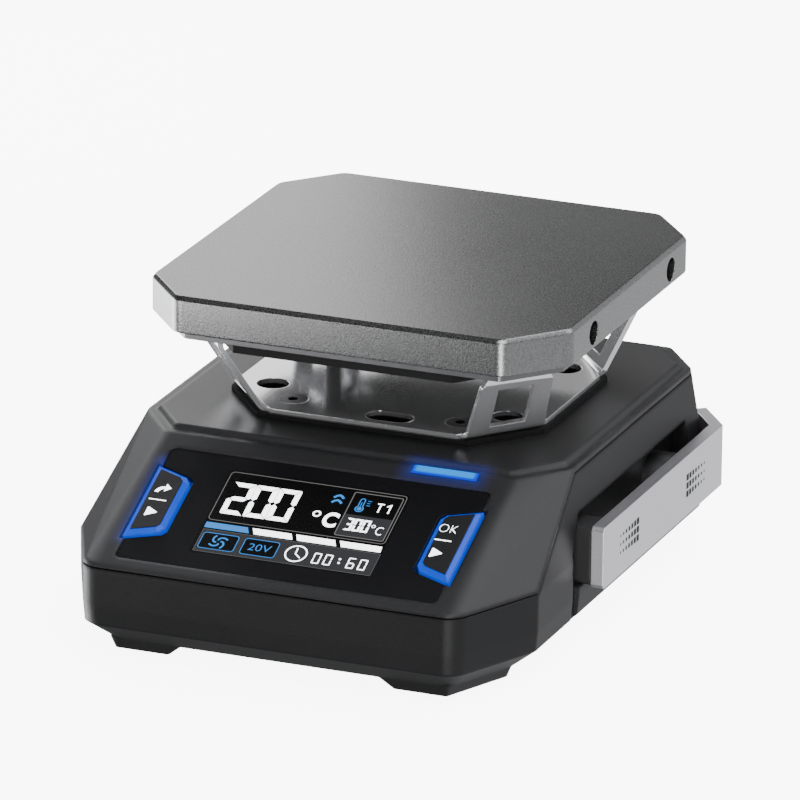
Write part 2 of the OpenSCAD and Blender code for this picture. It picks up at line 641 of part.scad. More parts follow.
// height of the cover's inner roof at a place along the case
function roof_z(y) = min(hollow_top, ledge_z - (-y - top_front + hollow_shift) * tan(slope_deg));
module at_front_screws() for (x = [-1, 1]) for (y = [-4.4, -front_board_h + 1.4])
  translate([x * (display_w / 2 + 2.2), y, 0]) children();
module cover_cuts() {
  on_slope() {
    // pocket of the glass, opening behind the display, and the keys' openings
    translate([0, -glass_mid, -glass_sink - glass_t])
      rounded_box(glass_w + 2 * slack, glass_h + 2 * slack, 1.1, 3);
    translate([-display_w / 2 - slack, -glass_mid - display_h / 2 - slack, -5])
      cube([display_w + 2 * slack, display_h + 2 * slack, 6]);
    at_key() both_sides() translate([0, 0, -slope_wall - 1.2]) linear_extrude(slope_wall + 3)
      polygon(key_shape(key_gap, 0.6));
    // light bar's notch in the top edge
    translate([light_x, 0, 0]) light_block(slack);
    at_key() both_sides() translate([rib_in - 1, 0, -pin_depth]) rotate([0, 90, 0])
      cylinder(d = pin_d + 2 * 0.02, h = pin_len + 1);
    at_front_screws() translate([0, 0, front_board_n - 1]) cylinder(d = 1.6 + fit, h = 5);
  }
  four_corners() translate([bracket_screw_at.x, bracket_screw_at.y, top_z - 7])
    cylinder(d = bracket_screw_d + fit, h = 9);
  for (p = case_screw_at) translate([p.x, p.y, boss_z - 1]) cylinder(d = case_screw_d, h = thread_len + 1);
  translate([lead_at.x, lead_at.y, top_z - top_wall - 2]) cylinder(d = base_hole_d, h = top_wall + 4);
}
module rounded_box(w, h, r, depth) linear_extrude(depth) {
  square([w - 2 * r, h], center = true);
  square([w, h - 2 * r], center = true);
  for (x = [-1, 1]) for (y = [-1, 1]) translate([x * (w / 2 - r), y * (h / 2 - r)]) circle(r = r);
}
module light_block(grow) translate([-light_len / 2 - grow, -1.4 - grow, -1.6 - grow])
  cube([light_len + 2 * grow, 1.65 + 2 * grow, 1.66 + 2 * grow]);

// lower case with feet, recess, vents and bosses
// a foot's outline at its root or its sole, for the front or the back
function foot_ring(front, inset, taper) = let(p = case_outline(inset), s = front ? 1 : -1,
  a = front ? p[1] : p[4], b = front ? p[2] : p[3])
  [[foot_in + taper, a.y], a, b, [b.x - 6 - taper, b.y + s * (2 - taper)],
  [foot_in + taper, a.y + s * (9 - taper)]];
module foot(front) hull() {
  for (p = foot_ring(front, bevel_in + 0.6, 0))
    translate([p.x, p.y, under_z]) cylinder(r = 0.5, h = 0.3, $fn = 16);
  for (p = foot_ring(front, bevel_in + 1.4, under_z))
    translate([p.x, p.y, foot_z]) cylinder(r = 0.5, h = 0.3, $fn = 16);
}
module recess_cut() intersection() {
  // section of the recess, extruded along the side
  translate([0, far / 2, 0]) rotate([90, 0, 0]) linear_extrude(far) difference() {
    translate([recess_x, recess_low]) square([far, recess_high - recess_low]);
    // slanting roof of the recess
    polygon([[recess_x - 1, recess_high - 1.6], [recess_x, recess_high - 1.6],
      [case_w / 2 + 1, recess_high + 1.6],
      [recess_x - 1, far]]);
  }
  // its outline seen from the side, with the sloping front end
  rotate([90, 0, 90]) translate([0, 0, recess_x - 1]) linear_extrude(far)
    polygon([[-recess_front, 0], [-recess_front, seam_z + 0.8], [-recess_front + 5, recess_high],
      [-recess_front + 5, far],
      [recess_back, far], [recess_back, 0]]);
}
module recess_lining() translate([recess_x - wall, -recess_front - wall, recess_low - wall])
  cube([wall + 1.2, recess_front + recess_back + 2 * wall, recess_high - recess_low + 2 * wall - 2.4]);
module lower_case() color([0.11, 0.11, 0.115]) placed() difference() {
  union() {
    difference() {
      intersection() {
        case_body();
        case_space();
      }
      case_hollow();
    }
    both_sides() {
      foot(true);
      foot(false);
    }
    intersection() {
      case_body();
      union() {
        recess_lining();
        case_inside();
      }
    }
  }
  recess_cut();
  translate([case_w / 2 - groove_depth, -recess_front, 0]) cube([far, groove_w, recess_low + 1]);
  case_cuts();
}
module case_space() difference() {
  translate([-far, -far, 0]) cube([2 * far, 2 * far, far]);
  cover_space(seam_gap);
  roof_space(0);
}
module at_fan_screws() for (x = [-1, 1]) for (y = [-1, 1])
  translate([x * (fan_w / 2 - 3), fan_y + y * (fan_w / 2 - 3), 0]) children();
module case_inside() {
  for (p = case_screw_at) translate([p.x, p.y, under_z + 0.5])
    cylinder(d = boss_d + 0.6, h = boss_z - under_z - 0.5);
  // posts under the fan and the control board
  at_fan_screws() translate([0, 0, under_z + 0.5]) cylinder(d = 4.4, h = fan_z - under_z - 0.5);
  for (p = control_posts) translate([p.x, p.y, under_z + 0.5])
    cylinder(d = 4.4, h = control_z - under_z - 0.5);
}
module case_cuts() {
  // screw holes in the floor, with sunk heads
  for (p = case_screw_at) {
    translate([p.x, p.y, -1]) cylinder(d = case_screw_d + 0.4, h = boss_z + 2);
    translate([p.x, p.y, -1]) cylinder(d = 5, h = floor_z + 0.4);
    translate([p.x, p.y, boss_z]) cylinder(d = boss_d + 0.5, h = far);
  }
  for (p = control_posts) translate([p.x, p.y, control_z - 3.6]) cylinder(d = 1.6 + fit, h = 5);
  at_fan_screws() translate([0, 0, fan_z - 2.4]) cylinder(d = 1.6 + fit, h = 4);
  // fan inlet: rings of arc slots in the underside
  translate([0, fan_y, under_z - 1]) difference() {
    for (r = [5, 8.5, 12]) tube(2 * r + 2, 2 * r, wall + 3);
    for (a = [0:60:120]) rotate(a) translate([-far / 2, -1, -2]) cube([far, 2, wall + 6]);
  }
  // outlet slots in the back wall
  for (i = [0:7]) translate([-fan_w * 0.3 + i * 3.4, case_back - wall - 2, control_z])
    cube([1.6, wall + 4, 7]);
  // power inlet
  translate([inlet_x, case_back - wall - 3, control_z + board_t + inlet_h / 2]) rotate([-90, 0, 0])
    linear_extrude(wall + 6) oval(inlet_w + 2 * slack, inlet_h + 2 * slack);
  // screws that hold the side bar
  for (y = bar_screw_y) translate([recess_x - wall - 3, y, bar_mid_z]) rotate([0, 90, 0])
    cylinder(d = 2.2, h = far);
}
module foot_pads() color([0.05, 0.05, 0.05]) placed() both_sides() {
  for (p = [[case_w / 2 - 12.5, -case_front + 10.2], [case_w / 2 - 13, case_back - 9.3]])
    translate([p.x, p.y, 0]) cylinder(d = 4.6, h = pad_h);
}
module case_screws() color([0.3, 0.3, 0.31]) placed() for (p = case_screw_at)
  translate([p.x, p.y, floor_z - 0.6]) difference() {
  union() {
    translate([0, 0, -case_head_h]) cylinder(d = 4.4, h = case_head_h);
    cylinder(d = case_screw_d - fit, h = boss_z + thread_len - 0.5 - floor_z + 0.6);
  }
  translate([0, 0, -2]) cylinder(d = 2, h = 1.4, $fn = 6);
}

// front panel
module display_glass() color([0.02, 0.02, 0.02]) placed() on_slope() difference() {
  translate([0, -glass_mid, -glass_sink - glass_t]) rounded_box(glass_w, glass_h, 1, glass_t);
  at_key() both_sides() translate([0, 0, -3]) linear_extrude(5) polygon(key_shape(key_gap, 0.6));
}
module display_module() color([0.05, 0.07, 0.1]) placed() on_slope()
  translate([-display_w / 2, -glass_mid - display_h / 2, -glass_sink - glass_t - slack - display_t])
    cube([display_w, display_h, display_t]);
module light_bar() color([0.1, 0.4, 1]) placed() on_slope() translate([light_x, 0, 0]) light_block(0);

// a rocker key: translucent rim on a stem that turns on its pin
module key_body() {
  hull() {
    translate([0, 0, -glass_sink - 0.1]) linear_extrude(thin) polygon(key_shape(0, 0.8));
    translate([0, 0, key_rise - 0.25]) linear_extrude(thin) polygon(key_shape(-key_rim * 0.9, 0.6));
  }
  difference() {
    union() {
      translate([0, 0, -pin_depth + 1]) linear_extrude(pin_depth - 1) polygon(key_shape(0, 0.8));
      intersection() {
        translate([0, 0, -pin_depth - 1.3]) linear_extrude(pin_depth) polygon(key_shape(0, 0.8));
        translate([0, -2.4, -far / 2]) cube([far, 4.8, far]);
      }
      // legs over the switches
      for (s = [-1, 1]) translate([key_out() - key_w / 2 - 0.9, s * leg_at() - 0.9,
        front_board_n + switch_h + 0.3])
        cube([1.8, 1.8, -front_board_n - switch_h - 0.3 - 2]);
    }
    translate([0, 0, -pin_depth]) rotate([0, 90, 0]) cylinder(d = pin_d + 2 * pin_play, h = far);
  }
}
function leg_at() = key_short / 2 - 1.2;
module left_key() color([0.1, 0.35, 1]) placed() mirror([1, 0, 0]) on_slope() at_key() key_body();
module right_key() color([0.1, 0.35, 1]) placed() on_slope() at_key() key_body();
module key_face() translate([0, 0, key_rise - 0.25 + thin]) linear_extrude(0.25 - thin)
  polygon(key_shape(-key_rim, 0.5));
module left_key_face() color([0.03, 0.03, 0.03]) placed() mirror([1, 0, 0]) on_slope() at_key() key_face();
module right_key_face() color([0.03, 0.03, 0.03]) placed() on_slope() at_key() key_face();
module key_pins() color([0.75, 0.75, 0.76]) placed() both_sides() on_slope() at_key()
  translate([rib_in + 0.2, 0, -pin_depth]) rotate([0, 90, 0]) cylinder(d = pin_d, h = pin_len - 0.4);
module key_switches() color([0.2, 0.2, 0.22]) placed() both_sides() on_slope() at_key() for (s = [-1, 1])
  translate([key_out() - key_w / 2, s * leg_at(), front_board_n]) {
    translate([-2.2, -2.2, 0]) cube([4.4, 4.4, switch_h - 0.8]);
    translate([0, 0, switch_h - 0.8]) cylinder(d = 2.2, h = 0.8, $fn = 24);
  }
module front_board() color([0.05, 0.2, 0.1]) placed() on_slope() difference() {
  translate([-glass_w / 2, -front_board_h, front_board_n - board_t])
    cube([glass_w, front_board_h - 2, board_t]);
  at_front_screws() translate([0, 0, front_board_n - board_t - 1]) cylinder(d = 2.2, h = board_t + 2);
}
// pan screw, its head above z = 0 and its thread below
module small_screw(len) {
  cylinder(d = 3.2, h = 1);
  translate([0, 0, -len]) cylinder(d = 1.6, h = len);
}
module board_screws() color([0.6, 0.6, 0.62]) placed() {
  on_slope() at_front_screws() translate([0, 0, front_board_n - board_t]) mirror([0, 0, 1])
    small_screw(board_t + 3);
  for (p = control_posts) translate([p.x, p.y, control_z + board_t]) small_screw(board_t + 3);
}

// boards and power inlet
module control_board() color([0.05, 0.2, 0.1]) placed() difference() {
  translate([0, 0, control_z]) linear_extrude(board_t) difference() {
    union() {
      translate([-board_x, board_front]) square([2 * board_x, control_d]);
      translate([-board_x, board_front]) square([wing_w, case_back - wall - 1.2 - board_front]);
    }
    // the case's rear corner
    translate([-board_x, case_back - wall - 1.2]) rotate(-atan2(back_cut_x, back_cut_y))
      square([8, 24], center = true);
  }
  for (p = control_posts) translate([p.x, p.y, control_z - 1]) cylinder(d = 2.2, h = board_t + 2);
  for (p = case_screw_at) translate([p.x, p.y, control_z - 1]) cylinder(d = boss_d + 1.4, h = board_t + 2);
}
// a block on the control board: its corner from the board's front left corner, and its size
module board_block(at, size) translate([-board_x + at.x, board_front + at.y, control_z + board_t])
  cube(size);
module board_parts() color([0.15, 0.15, 0.16]) placed() {
  board_block([control_d * 0.7, control_d * 0.25], [10, 10, 1.2]);
  board_block([control_d * 1.45, control_d * 0.2], [8, 8, 4.5]);
  for (x = [2.05, 1.85]) translate([-board_x + control_d * x, board_front + control_d * 0.6,
    control_z + board_t])
    cylinder(d = 4, h = 6);
  for (y = [1.1, 1.35]) board_block([wing_w * 0.15, control_d * y], [5, 4, 2.2]);
}
module buzzer() color([0.06, 0.06, 0.06]) placed()
  translate([-board_x + control_d * 0.4, board_front + control_d * 0.4, control_z + board_t])
    tube(buzzer_d, 1.6, 4);
module power_inlet() color([0.7, 0.7, 0.72]) placed()
  translate([inlet_x, case_back - 7.4, control_z + board_t + inlet_h / 2])
  rotate([-90, 0, 0]) difference() {
    linear_extrude(7.3) oval(inlet_w, inlet_h);
    translate([0, 0, 1]) linear_extrude(7) oval(inlet_w - 0.6, inlet_h - 0.6);
  }

// fan
module fan_frame() color([0.08, 0.08, 0.08]) placed() translate([0, fan_y, fan_z]) {
  difference() {
    translate([-fan_w / 2, -fan_w / 2, 0]) cube([fan_w, fan_w, fan_h]);
    translate([0, 0, -1]) cylinder(d = fan_w - 2, h = fan_h + 2);
    for (x = [-1, 1]) for (y = [-1, 1]) translate([x * (fan_w / 2 - 3), y * (fan_w / 2 - 3), -1])
      cylinder(d = 2, h = fan_h + 2);
  }
  // motor seat on three struts, with the bearing tube
  difference() {
    union() {
      cylinder(d = hub_d - 1, h = 1.2);
      for (a = [30, 150, 270]) intersection() {
        rotate(a) translate([0, -0.8, 0]) cube([fan_w, 1.6, 1.2]);
        cylinder(d = fan_w - 1.6, h = 2);
      }
      cylinder(d = shaft_d + 2.4, h = fan_h - 3.4);
    }
    translate([0, 0, -1]) cylinder(d = shaft_d + 2 * shaft_play, h = fan_h);
  }
}
module fan_rotor() color([0.1, 0.1, 0.1]) placed() translate([0, fan_y, fan_z]) {
  difference() {
    translate([0, 0, 1.7]) cylinder(d = hub_d, h = fan_h - 2.1);
    translate([0, 0, 1]) cylinder(d = hub_d - 2.4, h = fan_h - 3.4 + 0.6);
    translate([0, 0, 1]) cylinder(d = shaft_d, h = fan_h);
  }
  for (i = [0:blades - 1]) rotate(i * 360 / blades) intersection() {
    translate([hub_d / 2 - 0.4, 0, 1.7 + (fan_h - 2.1) / 2]) rotate([38, 0, 0])
      cube([fan_w, 0.9, fan_h * 2], center = true);
    translate([0, 0, 1.8]) difference() {
      cylinder(d = fan_w - 2 - 2 * tip_gap, h = fan_h - 2.4);
      translate([0, 0, -1]) cylinder(d = hub_d - 0.6, h = fan_h);
    }
    translate([0, -fan_w / 2, 0]) cube([fan_w, fan_w, fan_h]);
  }
}
module fan_shaft() color([0.8, 0.8, 0.82]) placed() translate([0, fan_y, fan_z + 0.3])
  cylinder(d = shaft_d, h = fan_h - 1);
module fan_screws() color([0.6, 0.6, 0.62]) placed() at_fan_screws() translate([0, 0, fan_z + fan_h])
  small_screw(fan_h + 2);

// side bar: a straight run along the side and a turned end on the rear corner face
corner_n = unit([back_cut_y, back_cut_x]);           // outward normal of the rear corner face
corner_t = [-corner_n.y, corner_n.x];                // along that face, towards the back
corner_c = corner_n.x * case_w / 2 + corner_n.y * (case_back - back_cut_y) + bar_seat;
function bar_vertex(off_side, off_corner) = let(x = bar_in + off_side)
  [x, (corner_c + off_corner - corner_n.x * x) / corner_n.y];
module side_bar() color([0.72, 0.72, 0.73]) placed() {
  vin = bar_vertex(0, 0);
  vout = bar_vertex(bar_t, bar_t);
  bend_c = bar_vertex(bar_t - bend_r, bar_t - bend_r);
  difference() {
    translate([0, 0, bar_z]) linear_extrude(bar_h) difference() {
      polygon([[bar_in, -bar_front], [bar_in + bar_t, -bar_front], vout, vout + corner_t * bar_end,
        vout + corner_t * bar_end - corner_n * bar_t, vin]);
      // the bend is round outside
      difference() {
        polygon([[bar_in + bar_t, bend_c.y], [far, bend_c.y], [far, far], bend_c + corner_n * far,
          bend_c + corner_n * bend_r, vout]);
        translate(bend_c) circle(r = bend_r);
      }
    }
    // blind threads for the screws that hold it
    for (y = bar_screw_y) translate([bar_in - 1, y, bar_mid_z]) rotate([0, 90, 0])
      cylinder(d = 2 + fit, h = 2.4);
    // rounded corners of the front end, seen from the side
    for (s = [-1, 1]) translate([bar_in - 1, -bar_front, bar_mid_z + s * bar_h / 2]) rotate([0, 90, 0])
      corner_trim(s);
  }
}
module corner_trim(s) difference() {
  translate([s > 0 ? -0.01 : -bar_corner_r, -0.01, 0])
    cube([bar_corner_r + 0.01, bar_corner_r + 0.01, far]);
  translate([s > 0 ? bar_corner_r : -bar_corner_r, bar_corner_r, -1])
    cylinder(r = bar_corner_r, h = far + 2);
}
module bar_block() color([0.08, 0.08, 0.08]) placed() difference() {
  translate([recess_x, -bar_front + 0.5, bar_z + 0.4]) cube([bar_in - recess_x, block_len, bar_h - 0.6]);
  translate([recess_x - 1, bar_screw_y[0], bar_mid_z]) rotate([0, 90, 0]) cylinder(d = 2.2, h = far);
}
module bar_post() color([0.5, 0.5, 0.51]) placed() translate([recess_x, bar_screw_y[1], bar_mid_z])
  rotate([0, 90, 0]) tube(post_d, 2.2, bar_in - recess_x);
module bar_screws() color([0.6, 0.6, 0.62]) placed() for (y = bar_screw_y)
  translate([recess_x - wall, y, bar_mid_z]) rotate([0, 90, 0]) {
    translate([0, 0, -1.2]) cylinder(d = 3.8, h = 1.2);
    cylinder(d = 2, h = bar_in - recess_x + wall + 1.3);
  }

heating_plate();
heater_film();
clamp_plate();
insulation_board();
temperature_probe();
heater_leads();
lead_grommet();
support_bracket();
plate_screws();
bracket_screws();
pedestal();
top_cover();
lower_case();
foot_pads();
case_screws();
display_glass();
display_module();
light_bar();
left_key();
left_key_face();
right_key();
right_key_face();
key_pins();
key_switches();
front_board();
board_screws();
control_board();
board_parts();
power_inlet();
fan_frame();
fan_rotor();
fan_shaft();
side_bar();
bar_block();
bar_post();
bar_screws();
fan_screws();
buzzer();
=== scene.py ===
import bpy, bmesh
from math import sin, cos, radians
from mathutils import Vector, Matrix
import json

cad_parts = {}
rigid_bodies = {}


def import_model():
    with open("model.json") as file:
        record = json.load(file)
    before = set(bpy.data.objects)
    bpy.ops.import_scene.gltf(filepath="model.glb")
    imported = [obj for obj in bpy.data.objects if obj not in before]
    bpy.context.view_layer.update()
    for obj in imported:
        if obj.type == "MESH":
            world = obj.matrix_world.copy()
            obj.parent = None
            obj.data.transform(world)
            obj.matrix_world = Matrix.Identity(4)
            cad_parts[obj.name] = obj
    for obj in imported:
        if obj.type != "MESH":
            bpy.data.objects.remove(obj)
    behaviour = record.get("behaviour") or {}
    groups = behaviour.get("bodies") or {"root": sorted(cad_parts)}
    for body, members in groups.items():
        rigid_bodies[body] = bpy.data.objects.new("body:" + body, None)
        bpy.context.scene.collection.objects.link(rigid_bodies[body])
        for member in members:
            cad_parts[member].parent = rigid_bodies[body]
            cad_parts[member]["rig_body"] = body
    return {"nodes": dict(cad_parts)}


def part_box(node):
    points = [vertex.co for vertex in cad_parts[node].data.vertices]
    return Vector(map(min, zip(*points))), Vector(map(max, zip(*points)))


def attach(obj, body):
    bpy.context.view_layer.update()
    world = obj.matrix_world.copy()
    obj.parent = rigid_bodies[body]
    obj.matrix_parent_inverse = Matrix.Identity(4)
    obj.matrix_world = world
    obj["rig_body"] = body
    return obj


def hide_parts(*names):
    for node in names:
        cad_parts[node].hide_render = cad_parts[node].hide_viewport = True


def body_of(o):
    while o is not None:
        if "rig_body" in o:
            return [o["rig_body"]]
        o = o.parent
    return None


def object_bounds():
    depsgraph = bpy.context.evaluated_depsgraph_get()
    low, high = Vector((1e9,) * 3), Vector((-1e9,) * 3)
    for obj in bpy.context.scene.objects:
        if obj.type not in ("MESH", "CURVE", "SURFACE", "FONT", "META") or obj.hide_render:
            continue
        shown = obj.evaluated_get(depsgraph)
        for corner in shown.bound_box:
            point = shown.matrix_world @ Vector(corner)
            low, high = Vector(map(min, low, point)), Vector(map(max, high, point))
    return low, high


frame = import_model()
cadLow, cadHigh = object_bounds()  # the box around all the loaded pieces; the box that the looks must stay in
mm = 0.001
plateLow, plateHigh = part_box("heating_plate")
middle = (plateLow + plateHigh) / 2
print("loaded", len(frame["nodes"]), "nodes")


# shader maths and node making
class Wire:  # a node's output; + - * / and the named steps add Math nodes
    def __init__(self, tree, socket):
        self.tree, self.socket = tree, socket

    def step(self, operation, *values, clamp=False):
        return Nodes(self.tree).make("ShaderNodeMath", {"operation": operation, "use_clamp": clamp},
                                     dict(enumerate(values)))

    def __add__(self, other): return self.step("ADD", self, other)
    def __radd__(self, other): return self.step("ADD", other, self)
    def __sub__(self, other): return self.step("SUBTRACT", self, other)
    def __rsub__(self, other): return self.step("SUBTRACT", other, self)
    def __mul__(self, other): return self.step("MULTIPLY", self, other)
    def __rmul__(self, other): return self.step("MULTIPLY", other, self)
    def __truediv__(self, other): return self.step("DIVIDE", self, other)
    def __rtruediv__(self, other): return self.step("DIVIDE", other, self)
    def __pow__(self, other): return self.step("POWER", self, other)
    def most(self, other): return self.step("MAXIMUM", self, other)
    def size(self): return self.step("ABSOLUTE", self)
    def clamped(self): return self.step("ADD", self, 0.0, clamp=True)
    def root(self): return self.step("SQRT", self)

    def fade(self, low, high):  # smooth rise from 0 at low to 1 at high
        return Nodes(self.tree).make("ShaderNodeMapRange", {"interpolation_type": "SMOOTHSTEP"},
                                     {"Value": self, "From Min": low, "From Max": high}, out="Result")


class Nodes:  # one node tree; make() adds any other node
    def __init__(self, tree):
        self.tree = tree

    def make(self, kind, settings=None, values=None, out=0):
        node = self.tree.nodes.new(kind)
        for label, value in (settings or {}).items():
            setattr(node, label, value)
        for label, value in (values or {}).items():
            self.feed(node.inputs[label], value)
        return Wire(self.tree, node.outputs[out])

    def feed(self, socket, value):
        if isinstance(value, Wire):
            self.tree.links.new(value.socket, socket)
        elif hasattr(value, "__len__") and len(value) == 3 and socket.type == "RGBA":
            socket.default_value = (*value, 1)
        else:
            socket.default_value = value

    def blend(self, first, second, share):
        return self.make("ShaderNodeMix", {"data_type": "RGBA"}, {0: share, 6: first, 7: second}, out=2)

    def along(self, place, direction):  # how far place points that way
        return self.make("ShaderNodeVectorMath", {"operation": "DOT_PRODUCT"},
                         {0: place, 1: direction}, out="Value")


class Finish(Nodes):  # one material
    def __init__(self, name, **gloss):
        self.material = bpy.data.materials.new(name)
        self.material.use_nodes = True
        super().__init__(self.material.node_tree)
        self.shader = self.tree.nodes["Principled BSDF"]
        self.paint(**gloss)
        self.place = self.make("ShaderNodeTexCoord", out="Object")

    def paint(self, **values):
        for label, value in values.items():
            self.feed(self.shader.inputs[spaced(label)], value)
        return self.material

    def noise(self, size, detail=2.0, rough=0.5, stretch=None):
        place = self.place
        if stretch:
            place = self.make("ShaderNodeMapping", None, {"Vector": place, "Scale": stretch})
        return self.make("ShaderNodeTexNoise", None,
                         {"Vector": place, "Scale": 1 / size, "Detail": detail, "Roughness": rough})

    def axes(self):
        return [self.along(self.place, way) for way in ((1, 0, 0), (0, 1, 0), (0, 0, 1))]

    def relief(self, height, depth, edge=0.0):
        values = {"Height": height, "Distance": depth, "Strength": 1.0}
        if edge:  # edges catch the light as if rounded by this radius
            values["Normal"] = self.make("ShaderNodeBevel", {"samples": 6}, {"Radius": edge})
        return self.make("ShaderNodeBump", None, values)


def spaced(label):  # baseColor to Base Color, specularIORLevel to Specular IOR Level
    words = "".join(" " + letter if letter.isupper() else letter for letter in label).title()
    return words.replace("I O R ", "IOR ")


# making objects
def placed(name, data):
    piece = bpy.data.objects.new(name, data)
    bpy.context.collection.objects.link(piece)
    return piece


def meshOf(piece):  # its mesh with the modifiers in it
    return bpy.data.meshes.new_from_object(piece.evaluated_get(bpy.context.evaluated_depsgraph_get()))


def applied(piece):
    mesh = meshOf(piece)
    piece.modifiers.clear()
    piece.data = mesh
    return mesh


def evenShading(piece):  # flats stay flat, and the roundings between them shade smoothly
    even = piece.modifiers.new("even", "WEIGHTED_NORMAL")
    even.keep_sharp, even.weight, even.mode = True, 60, "FACE_AREA"
    return applied(piece)


# light, backdrop and camera
studio = {"paper": 0.86, "paperGlow": 9.0, "paperDrop": 0.02, "reach": 6.0, "tint": (0.97, 0.98, 1.0),
          "above": 0.08, "below": 0.30, "straightDown": 0.2,  # strength of the surroundings by height
          "horizon": (-0.26, -0.02), "footFade": (-0.85, -0.4)}
glows = {  # soft light from far off: direction, strength, angles in degrees where it is full and where it ends
    "lowLeft": ((-0.94, 0.14, -0.31), 10.0, 12, 32),
    "lowRight": ((0.85, 0.35, -0.35), 0.78, 45, 85),
    "key": ((0.30, -0.45, 0.84), 7.0, 8, 26),
    "rightBack": ((0.55, 0.45, 0.70), 2.8, 8, 30),
    "leftRim": ((-0.60, 0.60, 0.53), 4.2, 6, 18),
    "rightRim": ((0.12, 0.42, 0.90), 5.0, 5, 16),
}
panels = {  # softboxes: place, size, power and aim, in metres and watts
    "backLeftPanel": ((-0.175, 0.22, 0.16), (0.17, 0.28), 0.26, (-0.02, 0, 0.06)),
    "backStrip": ((-0.11, 0.23, 0.075), (0.22, 0.09), 0.024, (0, 0, 0.04)),
    "frontLeftPanel": ((-0.165, -0.24, 0.0), (0.13, 0.06), 0.21, (0, -0.03, 0.055)),
    "frontColumn": ((0.37, -0.98, -0.10), (0.32, 1.1), 10.0, (0, 0, 0.04)),
}
view = {"from": (0.5363, -1.3706, 0.47793), "azimuth": 21.4896, "elevation": 18.8386,
        "roll": 0.7098, "lens": 444.75, "sensor": 36.0, "near": 0.05}


def lightStudio():
    world = bpy.data.worlds.new("studioWorld")
    bpy.context.scene.world = world
    world.use_nodes = True
    sky = Nodes(world.node_tree)
    way = sky.make("ShaderNodeTexCoord", out="Generated")
    height = sky.along(way, (0, 0, 1))
    down, below, above = studio["straightDown"], studio["below"], studio["above"]
    light = down + height.fade(*studio["footFade"]) * (below - down)
    light = light + height.fade(*studio["horizon"]) * (above - below)
    for direction, strength, full, end in glows.values():
        aim = tuple(Vector(direction).normalized())
        light = light + sky.along(way, aim).fade(cos(radians(end)), cos(radians(full))) * strength
    ground = world.node_tree.nodes["Background"]
    sky.feed(ground.inputs["Color"], studio["tint"])
    sky.feed(ground.inputs["Strength"], light)
    for name, (place, size, power, aim) in panels.items():
        lamp = bpy.data.lights.new(name, "AREA")
        lamp.shape, lamp.size, lamp.size_y, lamp.energy = "RECTANGLE", size[0], size[1], power
        piece = placed(name, lamp)
        piece.location = place
        piece.rotation_euler = (Vector(aim) - Vector(place)).to_track_quat("-Z", "Y").to_euler()
        piece.visible_camera = False


def layFloor():  # white paper, seen by the camera alone, so that it mirrors in nothing
    reach, z = studio["reach"], cadLow.z - studio["paperDrop"] * mm
    mesh = bpy.data.meshes.new("floor")
    corners = [(x * reach, y * reach, z) for x, y in ((-1, -1), (1, -1), (1, 1), (-1, 1))]
    mesh.from_pydata(corners, [], [(0, 1, 2, 3)])
    floor = placed("floor", mesh)
    paper = Finish("paleFloor", roughness=0.85, emissionStrength=studio["paperGlow"])
    tone = paper.blend((studio["paper"],) * 3, (studio["paper"] - 0.03,) * 3, paper.noise(0.004, 3))
    mesh.materials.append(paper.paint(baseColor=tone, emissionColor=tone))
    fromBelow = paper.make("ShaderNodeNewGeometry", out="Backfacing")  # clear there, so that the underside shows
    clear = paper.make("ShaderNodeBsdfTransparent")
    solid = Wire(paper.tree, paper.shader.outputs[0])
    both = paper.make("ShaderNodeMixShader", None, {0: fromBelow, 1: solid, 2: clear})
    paper.feed(paper.tree.nodes["Material Output"].inputs["Surface"], both)
    floor.visible_glossy = floor.visible_diffuse = floor.visible_shadow = False


def setCamera():
    camera = bpy.data.cameras.new("camera")
    camera.lens, camera.sensor_width, camera.clip_start = view["lens"], view["sensor"], view["near"]
    piece = placed("camera", camera)
    az, el, roll = (radians(view[key]) for key in ("azimuth", "elevation", "roll"))
    forward = Vector((-sin(az) * cos(el), cos(az) * cos(el), -sin(el)))
    right = Vector((cos(az), sin(az), 0))
    up = right.cross(forward)
    across = right * cos(roll) + up * sin(roll)
    upward = up * cos(roll) - right * sin(roll)
    turn = Matrix((across, upward, -forward)).transposed().to_4x4()
    place = Vector((middle.x, middle.y, plateHigh.z)) + Vector(view["from"])
    piece.matrix_world = Matrix.Translation(place) @ turn
    bpy.context.scene.camera = piece


lightStudio()
layFloor()
setCamera()
print("studio set")

# finishes; all sizes in metres
plateLook = {"grey": (0.165, 0.165, 0.168), "pale": (0.25, 0.249, 0.247), "grain": 0.0003, "cloud": 0.03,
             "contrast": 3.4, "offset": -1.35, "rough": 0.20, "depth": 0.00002, "rim": 0.00025}
barLook = {"grey": (0.70, 0.69, 0.725), "pale": (0.78, 0.77, 0.80), "strand": 0.0004, "grain": 0.00025,
           "rough": 0.30, "depth": 0.000008, "rim": 0.0002}
mirrorLook = {"grey": (0.76, 0.76, 0.77), "pale": (0.84, 0.84, 0.85), "metallic": 0.78, "smear": 0.006,
              "scratch": 0.0006, "rough": 0.08, "depth": 0.000003, "rim": 0.0002}
brushed = (1, 0.06, 1)  # noise drawn out along Y


def blastedPlate():
    f = Finish("blastedAluminium", metallic=1.0)
    grain = f.noise(plateLook["grain"], 2, 0.7)
    cloud = f.noise(plateLook["cloud"], 2)
    speckle = (grain * plateLook["contrast"] + plateLook["offset"] + cloud * 0.3).clamped()
    return f.paint(baseColor=f.blend(plateLook["grey"], plateLook["pale"], speckle),
                   roughness=plateLook["rough"] + grain * 0.12 + cloud * 0.04,
                   normal=f.relief(grain, plateLook["depth"], plateLook["rim"]))


